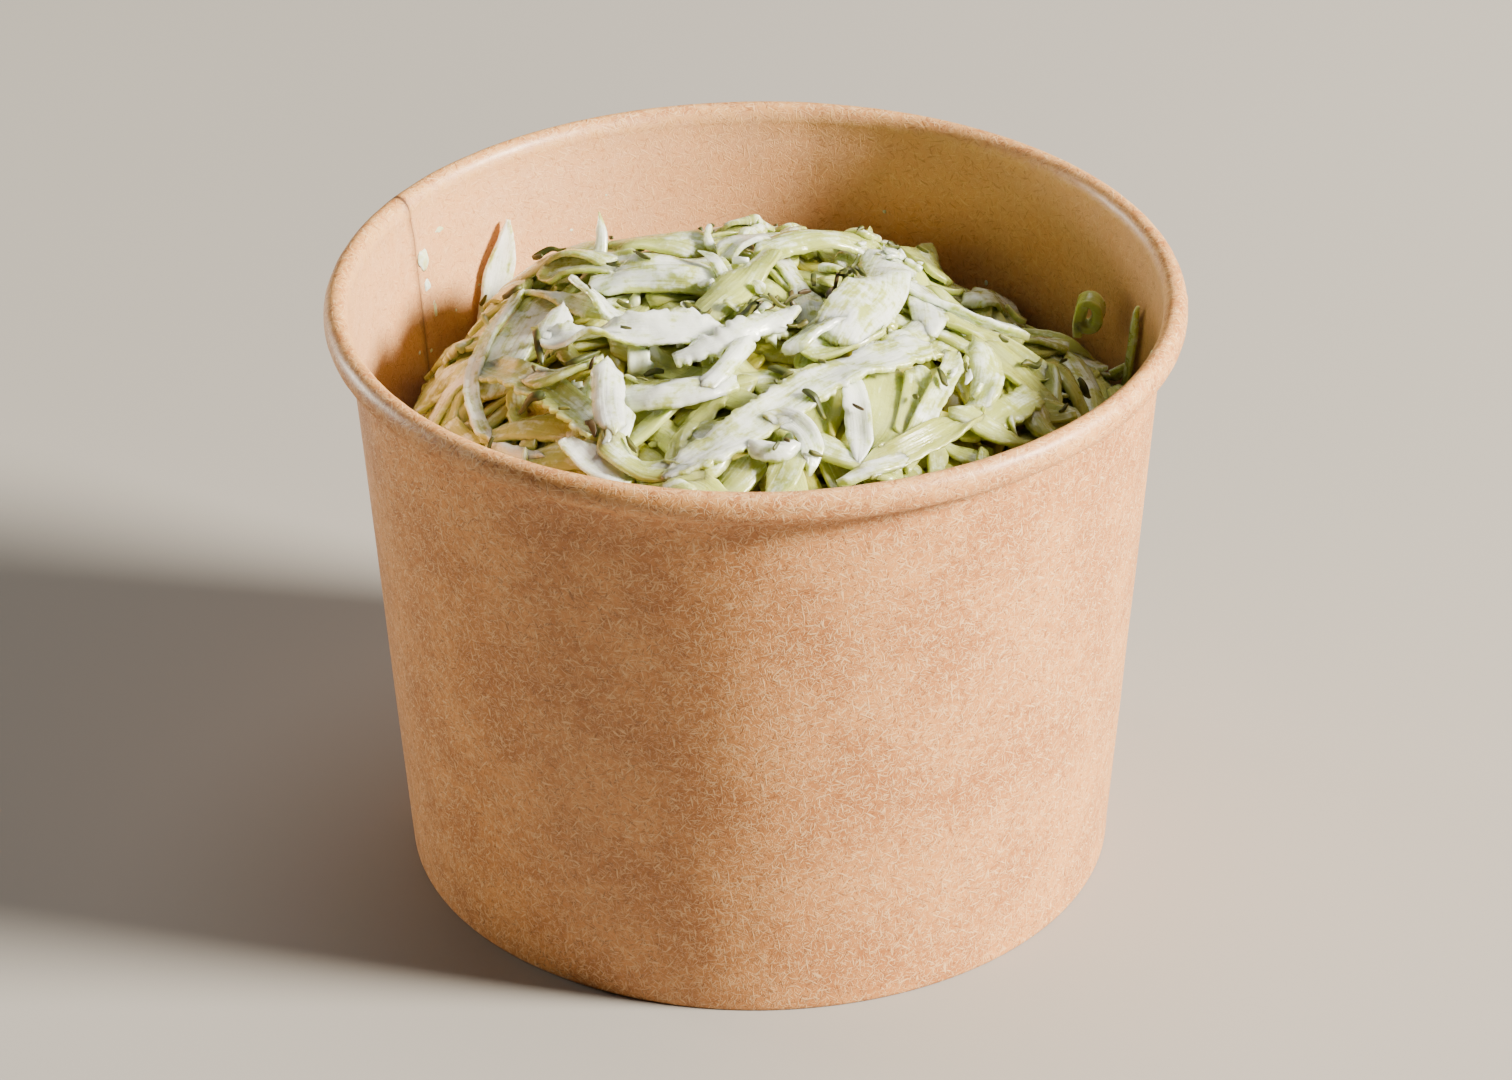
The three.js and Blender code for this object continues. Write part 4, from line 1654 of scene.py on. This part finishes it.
@dataclass
class Cabbage:
    """The cabbage: a packed core, strewn layers, placed shreds, crumbs and standing scraps."""

    pile: Pile
    cup: PaperCup
    skin: RibbonSkin
    finish: CabbageFinish = CabbageFinish()
    back_seed: int = 44
    back_count: int = 74
    back_gap: float = 5.0
    back_leaves: float = 0.18
    crumb_seed: int = 77
    core_levels: tuple[float, ...] = (20.0, 34.0, 42.0)
    core_columns: int = 128
    core_rings: int = 46
    ribbons: dict[str, list[Ribbon]] = field(
        default_factory=lambda: {"deep": [], "upper": [], "top": []}
    )

    def lay(self) -> None:
        """Lays every shred, from the lowest layer to the highest."""
        self._strew(Layer.DEEP)
        self._strew(Layer.UPPER)
        back, listed = enumerate(self._back_shreds(), 700), enumerate(TOP_SHREDS, 900)
        laid = [self.pile.drape(shred, seed, 0.45, 8, 1.6) for seed, shred in back]
        laid += [self.pile.drape(shred, seed, 0.32, 9) for seed, shred in listed]
        self.ribbons["top"] += [ribbon for ribbon in laid if ribbon is not None]
        self.ribbons["top"] += self._crumbs() + self._stand()
        self._strew(Layer.SCRAPS)
        self.pile.settle()

    def _strew(self, layer: Layer) -> None:
        """Strews one layer's shreds where the pile is lowest, or its scraps anywhere.

        Args:
            layer: which layer.
        """
        sizes, scraps, reach = layer.value, layer is Layer.SCRAPS, self.pile.heap.reach
        draw = random.Random(sizes.seed)
        kept = []
        for number in range(sizes.tries):
            spots = []
            for _ in range(7):
                radius = (reach - 1.0) * math.sqrt(draw.random())
                angle = draw.uniform(0, FULL_TURN)
                spots.append((radius * math.cos(angle), radius * math.sin(angle)))
            low = [self.pile.read(x, y) - self.pile.read(x, y, self.pile.form) for x, y in spots]
            x, y = spots[0 if scraps else int(np.argmin(low))]
            heading = draw.uniform(0, 360)
            length = draw.uniform(*sizes.length)
            bend = draw.gauss(0, 45)
            if math.hypot(x, y) / reach > 0.8 and not scraps:
                heading = math.degrees(math.atan2(y, x)) + 90 + draw.uniform(-25, 25)
                length = min(length, 15)
                bend = math.degrees(length / math.hypot(x, y))
            shred = Shred(
                x,
                y,
                heading,
                length,
                draw.uniform(*sizes.width),
                bend,
                coat=draw.uniform(*sizes.coat),
                tone=draw.uniform(*sizes.tone),
                tooth=draw.choice((0.1, 0.3, 0.8)),
                thickness=draw.uniform(0.5, 0.85),
                stiff=draw.randint(8, 26),
            )
            seed = sizes.seed * 10 + number
            laid = self.pile.drape(shred, seed, sizes.spacing, sizes.across, sizes.ceiling)
            kept += [laid] if laid is not None else []
        self.ribbons[sizes.store] += kept
        LOG.info("%s layer: %d shreds", layer.name.lower(), len(kept))

    def _back_shreds(self) -> list[Shred]:
        """Larger shreds and leaves for the parts of the heap that the listed ones leave bare.

        Returns:
            The shreds.
        """
        draw = random.Random(self.back_seed)
        golden = math.pi * (3 - math.sqrt(5))
        made = []
        for number in range(self.back_count):
            radius = (self.pile.heap.reach - 3.5) * math.sqrt((number + 0.5) / self.back_count)
            x, y = radius * math.cos(number * golden), radius * math.sin(number * golden)
            if min(math.hypot(x - s.x, y - s.y) for s in TOP_SHREDS) < self.back_gap:
                continue
            leafy = draw.random() < self.back_leaves
            made.append(
                Shred(
                    x,
                    y,
                    draw.uniform(0, 360),
                    draw.uniform(11, 15) if leafy else draw.uniform(11, 24),
                    draw.uniform(5, 7.5) if leafy else draw.uniform(2, 4.4),
                    draw.gauss(0, 40),
                    coat=draw.uniform(0.2, 0.9),
                    tone=draw.uniform(0.1, 0.7),
                    tooth=draw.choice((0.15, 0.4, 0.8)),
                    thickness=draw.uniform(0.55, 0.85),
                )
            )
        return made

    def _crumbs(self) -> list[Ribbon]:
        """Small broken bits of cabbage, thick with dressing, in loose clusters.

        Returns:
            The laid bits.
        """
        draw = random.Random(self.crumb_seed)
        made = []
        for x, y, spread, count in CRUMB_PLACES:
            for _ in range(count):
                length = draw.uniform(0.8, 2.4)
                crumb = Shred(
                    draw.gauss(x, spread),
                    draw.gauss(y, spread),
                    draw.uniform(0, 360),
                    length,
                    draw.uniform(0.6, 1.5),
                    roll=draw.uniform(-40, 40),
                    coat=draw.uniform(0.8, 1.2),
                    tooth=0.5,
                    thickness=draw.uniform(0.4, 0.75),
                    ends=(0.5, 0.3),
                )
                made.append(self.pile.drape(crumb, 1200 + len(made), 0.3, 5, ANYWHERE))
        return made

    def _stood(self, line: Array, side: Array, shred: Shred, seed: int) -> Ribbon:
        """Makes a ribbon along a line that stands free of the pile.

        Args:
            line: its middle line.
            side: the direction across it, for all of the line or for each point of it.
            shred: its sizes and finish.
            seed: picks its small differences.

        Returns:
            The ribbon.
        """
        left, right = self.pile.widths(shred, len(line), seed)
        across = np.broadcast_to(side, line.shape)
        return Ribbon(line, np.zeros(len(line)), left, right, shred, seed, 8, across)

    def _stand(self) -> list[Ribbon]:
        """The scraps that lean on the wall.

        Returns:
            On the right a curl, a leaf and a sliver, and on the left a sliver.
        """
        turn = np.radians(np.linspace(-75, 262, 34))
        grown = np.linspace(0.8, 1.1, 34)
        loop = np.stack(
            [
                38.7 + 1.2 * grown * np.sin(turn),
                14 + 0.5 * np.cos(turn),
                59.9 - 1.9 * grown * np.cos(turn),
            ],
            -1,
        )
        loop[-6:, 2] -= np.linspace(0, 3.4, 6)
        # the curl and the leaf lie in the right wall's shadow; their low coat and green tone also
        # paint part of it
        curl = Shred(38.6, 14, 0, 11, 2.2, coat=0.3, tone=0.6, thickness=1.35)
        part = np.linspace(0, 1, 44)
        rim = np.stack([27 + 15.3 * part, 13.4 - 5.5 * part**4, 53.6 - 8 * part**4], -1)
        leaf = Shred(36, 12, 0, 17, 8.6, coat=0.3, tone=0.6, tooth=0.3, thickness=0.6)
        height = np.linspace(50, 63.6, 34)
        azimuth = np.radians(np.linspace(13.2, 11.1, 34))
        right = around(self.cup.inner(height) - 0.75, azimuth, height)
        thin = Shred(44, 9, 0, 13.6, 2.3, coat=0.45, tone=0.35)
        left = np.stack([-32.6 + 3.3 * part, 29.2 + 4.0 * part, 47.5 + 15.4 * part], -1)
        broad = Shred(-31, 27, 0, 16.5, 4.2, coat=1.2, tone=0.3, tooth=0.1, ends=(2.0, 5.5))
        along_wall = around(1.0, azimuth + math.pi / 2, 0.0)
        return [
            self._stood(loop, np.array([0.25, 1.0, 0.1]), curl, 801),
            self._stood(rim, np.array([0.05, 0.36, 0.93]), leaf, 804),
            self._stood(right, along_wall, thin, 802),
            self._stood(left, np.array([0.74, 0.67, 0.0]), broad, 803),
        ]

    def build(self, effects: Effects) -> list[Piece]:
        """Builds the core and the laid shreds, one mesh for each layer, and dresses them.

        Args:
            effects: the shared node groups.

        Returns:
            The pieces, from the lowest.
        """
        material = self.finish.build(effects)
        made = [self._core(material)]
        for name, ribbons in self.ribbons.items():
            store = MeshStore("cabbage_" + name)
            for ribbon in ribbons:
                self.skin.wrap(ribbon, store)
            made.append(store.finish(material))
        return made

    def _core(self, material: Material) -> Piece:
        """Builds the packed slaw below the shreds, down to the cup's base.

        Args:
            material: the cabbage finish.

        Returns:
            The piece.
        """
        turn = even_turn(self.core_columns)
        levels = (self.cup.base_z + 0.85, *self.core_levels)
        rows = [around(self.cup.inner(z) - 0.6, turn, z) for z in levels]
        for ring in range(self.core_rings):
            radius = (self.pile.heap.reach - 0.1) * (1 - ring / self.core_rings) + 0.3
            x, y = radius * np.cos(turn), radius * np.sin(turn)
            z = self.pile.read(x, y, self.pile.base) - 0.2
            z = z + 0.5 * smooth_noise(x / 1.6, y / 1.6, 12)
            rows.append(np.stack([x, y, np.maximum(z, levels[-1] + 0.5)], -1))
        points = np.concatenate(rows)
        store = MeshStore("slaw_core")
        store.add(
            points,
            tube_faces(len(rows), self.core_columns),
            shade=self.pile.shade(points),
            tone=np.full(len(points), 0.8),
            coat=np.full(len(points), 0.1),
            lay=points.copy(),
        )
        return store.finish(material)


@dataclass
class Dressing:
    """Thick dressing between the strips, and its dabs on the cup's wall and rim."""

    pile: Pile
    cup: PaperCup
    film_half: float = 38.0
    film_step: float = 0.42
    film_thickness: float = 0.7
    dab_rings: int = 5
    dab_spokes: int = 18

    def film(self, material: Material) -> Piece:
        """Builds the thick dressing that joins the strips in the palest parts of the heap.

        Args:
            material: the dressing.

        Returns:
            The piece.
        """
        places = np.arange(-self.film_half, self.film_half + self.film_step, self.film_step)
        x, y = np.meshgrid(places, places, indexing="ij")
        mask = smooth_noise(x / 4.5, y / 4.5, 55) * 0.55 + smooth_noise(x / 1.7, y / 1.7, 56) * 0.45
        mask = mask - 0.7
        for near_x, near_y, reach in PALE_PLACES:
            mask = np.maximum(mask, mask + 0.8 * (1 - np.hypot(x - near_x, y - near_y) / reach))
        level = self.pile.read(x, y, blurred(self.pile.height, 4))
        grain = 0.45 * smooth_noise(x / 1.5, y / 1.5, 57)
        grain = grain + 0.18 * smooth_noise(x / 0.7, y / 0.7, 58)
        z = level - 1.5 + 0.8 * np.clip(mask, 0, 1) + grain - 1.6 * np.clip(0.3 - mask, 0, 1)
        kept = (mask > 0) & (np.hypot(x, y) < self.pile.heap.reach - 1.5)
        whole = kept[:-1, :-1] & kept[1:, :-1] & kept[1:, 1:] & kept[:-1, 1:]
        ring = len(places)
        corners = (i * ring + j for i, j in np.argwhere(whole).tolist())
        quads = [(at, at + ring, at + ring + 1, at + 1) for at in corners]
        store = MeshStore("dressing_film")
        self._slab(store, np.stack([x, y, z], -1).reshape(-1, 3), quads)
        return store.finish(material)

    def _slab(self, store: MeshStore, points: Array, quads: Sequence[Face]) -> None:
        """Adds a sheet as a closed slab: the sheet, its underside and its edge.

        Args:
            store: the mesh it goes to.
            points: the sheet's points, of which some may be unused.
            quads: the sheet's faces.
        """
        used = sorted({i for quad in quads for i in quad})
        index = {old: new for new, old in enumerate(used)}
        upper, count = points[used], len(used)
        faces: list[Face] = []
        edges: dict[tuple[int, int], bool] = {}
        for quad in quads:
            face = tuple(index[i] for i in quad)
            faces += [face, tuple(count + i for i in reversed(face))]
            edges.update(((start, end), True) for start, end in zip(face, face[1:] + face[:1]))
        outline = [(start, end) for start, end in edges if (end, start) not in edges]
        faces += [(end, start, count + start, count + end) for start, end in outline]
        both = np.concatenate([upper, upper - np.array([0, 0, self.film_thickness])])
        store.add(both, faces, shade=self.pile.shade(both))

    def _dab(self, store: MeshStore, drop: Drop, radius: float, out: Array, seed: int) -> None:
        """Adds one low dab with an uneven outline.

        Args:
            store: the mesh it goes to.
            drop: its place and sizes.
            radius: how far from the cup's axis the surface under it is.
            out: the surface's normal there.
            seed: picks its outline.
        """
        centre = around(radius, radians(drop.azimuth), drop.z)
        turn = even_turn(self.dab_spokes)
        wide = unit(np.cross(np.array([0, 0, 1.0]), out))
        tall = np.cross(out, wide)
        uneven = 1 + 0.28 * smooth_noise(np.cos(turn) * 1.6 + seed, np.sin(turn) * 1.6, seed)
        size = min(drop.width, drop.tall)
        rows = []
        for ring in range(self.dab_rings):
            share = 1 - ring / self.dab_rings
            rise = 0.16 * size * (1 - share**2.5) - 0.03
            rise = rise + 0.05 * size * smooth_noise(turn + ring, ring * 0.9, seed + 4)
            over = drop.width / 2 * share * uneven * np.cos(turn)
            up = drop.tall / 2 * share * uneven * np.sin(turn)
            rows.append(centre + over[:, None] * wide + up[:, None] * tall + rise[:, None] * out)
        points = np.concatenate(rows)
        faces = tube_faces(self.dab_rings, self.dab_spokes)
        store.add(points, faces, shade=np.zeros(len(points)))

    def smears(self, material: Material) -> Piece:
        """Builds the dabs.

        Args:
            material: the dressing.

        Returns:
            The piece.
        """
        store = MeshStore("dressing_smears")
        for number, drop in enumerate(WALL_DROPS):
            inward = unit(around(-1.0, radians(drop.azimuth), 0.07))
            on_lap = 149.5 < drop.azimuth < 156
            radius = self.cup.inner(drop.z) - (0.3 if on_lap else 0.0)
            self._dab(store, drop, radius, inward, 70 + number)
        radius = self.cup.rim_radius - self.cup.bead_width * 0.88
        out = around(-0.75, radians(RIM_DROP.azimuth), 0.66)
        self._dab(store, RIM_DROP, radius, out, 90)
        return store.finish(material)


@dataclass
class Herbs:
    """Dill needles, threads and bits of dried herb that lie on the finished heap."""

    pile: Pile
    skin: RibbonSkin
    finish: HerbFinish = HerbFinish()
    seed: int = 61
    thickness: float = 0.55
    raised: float = 0.42
    fleck_count: int = 30
    fleck_reach: float = 38.0
    sprig: Shred = Shred(1.2, -1.3, 49, 9.5, 0.6, 14, tone=0.95)
    sprig_leaves: int = 9
    leaf_turn: float = 24.0

    def build(self, effects: Effects) -> Piece:
        """Builds the threads and flecks, draped over the heap, and dresses them.

        Args:
            effects: the shared node groups.

        Returns:
            The piece.
        """
        draw = random.Random(self.seed)
        laid = [self._laid(shred, seed) for seed, shred in enumerate(HERBS, 400)]
        laid += self._sprig()
        for number in range(self.fleck_count):
            radius = self.fleck_reach * math.sqrt(draw.random())
            angle = draw.uniform(0, FULL_TURN)
            x, y = radius * math.cos(angle), radius * math.sin(angle)
            size = draw.uniform(0.6, 1.8)
            heading, width = draw.uniform(0, 360), draw.uniform(0.2, 0.6)
            fleck = Shred(x, y, heading, size, width, tone=draw.random())
            laid.append(self._laid(fleck, 500 + number))
        store = MeshStore("herb_flecks")
        for ribbon in laid:
            self.skin.wrap(ribbon, store)
        return store.finish(self.finish.build(effects))

    def _laid(self, shred: Shred, seed: int) -> Ribbon:
        """Drapes one bit of herb, thin and smooth-edged, and lifts it clear.

        Args:
            shred: its place and sizes.
            seed: picks its small differences.

        Returns:
            The laid bit.
        """
        width = 0.25 + 0.95 * shred.width
        thin = replace(shred, width=width, thickness=self.thickness, tooth=0.1, coat=0.0, stiff=5)
        laid = self.pile.drape(thin, seed, 0.25, 4, ANYWHERE)
        laid.line[:, 2] += self.raised
        return laid

    def _sprig(self) -> list[Ribbon]:
        """A dill sprig: a stem with fine leaves to both sides.

        Returns:
            Its draped bits.
        """
        stem = self.sprig
        bits = [self._laid(stem, 600)]
        for number in range(self.sprig_leaves):
            along = (number / 8 - 0.45) * stem.length
            side = 1 if number % 2 else -1
            heading = stem.heading + side * self.leaf_turn
            turn = radians(heading)
            x = stem.x + along * math.cos(radians(stem.heading)) + 0.9 * math.cos(turn)
            y = stem.y + along * math.sin(radians(stem.heading)) + 0.9 * math.sin(turn)
            length, tone = 2.6 - 0.12 * number, 0.25 + 0.08 * number
            leaf = Shred(x, y, heading, length, 0.5, side * 20, tone=tone)
            bits.append(self._laid(leaf, 610 + number))
        return bits


# ----------------------------------------------------------------------------- the studio


@dataclass(frozen=True)
class Panel:
    """A round soft light that faces the food.

    Its azimuth (from +X towards +Y) and elevation are in degrees, its distance and size in
    metres, and its power in watts.
    """

    name: str
    azimuth: float
    elevation: float
    distance: float
    size: float
    power: float
    colour: Colour

    def hang(self, aim: Triple) -> None:
        """Hangs the light.

        Args:
            aim: the place it faces, in millimetres.
        """
        light = bpy.data.lights.new(self.name, "AREA")
        light.shape = "DISK"
        light.size = self.size
        light.energy = self.power
        light.color = self.colour
        a, e = radians(self.azimuth), radians(self.elevation)
        toward = Vector((math.cos(a) * math.cos(e), math.sin(a) * math.cos(e), math.sin(e)))
        made = bpy.data.objects.new(self.name, light)
        made.location = Vector(aim) * MM + toward * self.distance
        made.rotation_euler = (-toward).to_track_quat("-Z", "Y").to_euler()
        bpy.context.scene.collection.objects.link(made)


@dataclass(frozen=True)
class Studio:
    """Pale floor, soft daylight from the right, and the camera."""

    camera_at: Triple = (-0.2, -612.7, 391.1)
    pitch: float = 29.96
    bank: float = -0.47
    lens: float = 145.13
    sensor: float = 36.0
    nearest: float = 0.01
    panels: tuple[Panel, ...] = (
        Panel("key", -13.0, 28.5, 1.5, 0.36, 127.0, (1.0, 0.945, 0.815)),
        Panel("fill", 152.0, 4.0, 1.5, 0.3, 19.0, (1.0, 0.945, 0.81)),
        Panel("sky", 80.0, 72.0, 1.5, 1.0, 9.0, (1.0, 0.98, 0.92)),
    )
    aim: Triple = (0.0, 0.0, 50.0)
    surroundings: Colour = (1.0, 0.97, 0.92)
    surroundings_strength: float = 0.046
    floor_reach: float = 6.0
    floor_tones: tuple[Colour, Colour] = ((0.325, 0.30, 0.275), (0.345, 0.32, 0.295))

    def floor(self) -> None:
        """Lays the pale floor."""
        made, tree, shader = new_material("studio_floor", {"Roughness": 0.75})
        grain = tree.noise(tree.object_place(), 3.0, 3.0)
        colour = tree.mix(tree.span(grain, 0.3, 0.7), *self.floor_tones)
        tree.link(colour, shader.inputs["Base Color"])
        mesh = bpy.data.meshes.new("studio_floor")
        corners = ((-1, -1), (1, -1), (1, 1), (-1, 1))
        points = [(x * self.floor_reach, y * self.floor_reach, 0) for x, y in corners]
        mesh.from_pydata(points, [], [(0, 1, 2, 3)])
        mesh.materials.append(made)
        floor = bpy.data.objects.new("studio_floor", mesh)
        bpy.context.scene.collection.objects.link(floor)

    def lights(self) -> None:
        """Hangs the lights and sets the plain surroundings."""
        for panel in self.panels:
            panel.hang(self.aim)
        world = bpy.data.worlds.new("studio")
        world.use_nodes = True
        plain = {"Color": (*self.surroundings, 1), "Strength": self.surroundings_strength}
        set_inputs(world.node_tree.nodes["Background"], plain)
        bpy.context.scene.world = world

    def camera(self) -> None:
        """Sets up the camera."""
        data = bpy.data.cameras.new("camera")
        data.lens = self.lens
        data.sensor_width = self.sensor
        data.clip_start = self.nearest
        made = bpy.data.objects.new("camera", data)
        made.location = Vector(self.camera_at) * MM
        turn = Euler((radians(90 - self.pitch), 0, 0)).to_quaternion()
        made.rotation_mode = "QUATERNION"
        made.rotation_quaternion = turn @ Euler((0, 0, radians(self.bank))).to_quaternion()
        bpy.context.scene.collection.objects.link(made)
        bpy.context.scene.camera = made


# ----------------------------------------------------------------------------- the whole


def main() -> None:
    """Builds the studio, the cup and the coleslaw, and reports each piece."""
    logging.basicConfig(level=logging.INFO, format="%(name)s %(message)s")
    studio = Studio()
    studio.camera()
    studio.lights()
    studio.floor()
    effects = Effects()
    cup = PaperCup()
    place(cup.shell(effects), "kraft_wall", ["cup_wall"])
    place(cup.floor(effects), "kraft_base", ["cup_base"])
    pile = Pile(HeapForm())
    skin = RibbonSkin(pile, cup)
    cabbage = Cabbage(pile, cup, skin)
    cabbage.lay()
    dressing, cream = Dressing(pile, cup), CreamFinish().build(effects)
    herbs = Herbs(pile, skin)
    for piece in [*cabbage.build(effects), dressing.film(cream), herbs.build(effects)]:
        place(piece, "dressed_cabbage", ["coleslaw"])
    place(dressing.smears(cream), "dressed_cabbage")


if __name__ == "__main__":
    main()
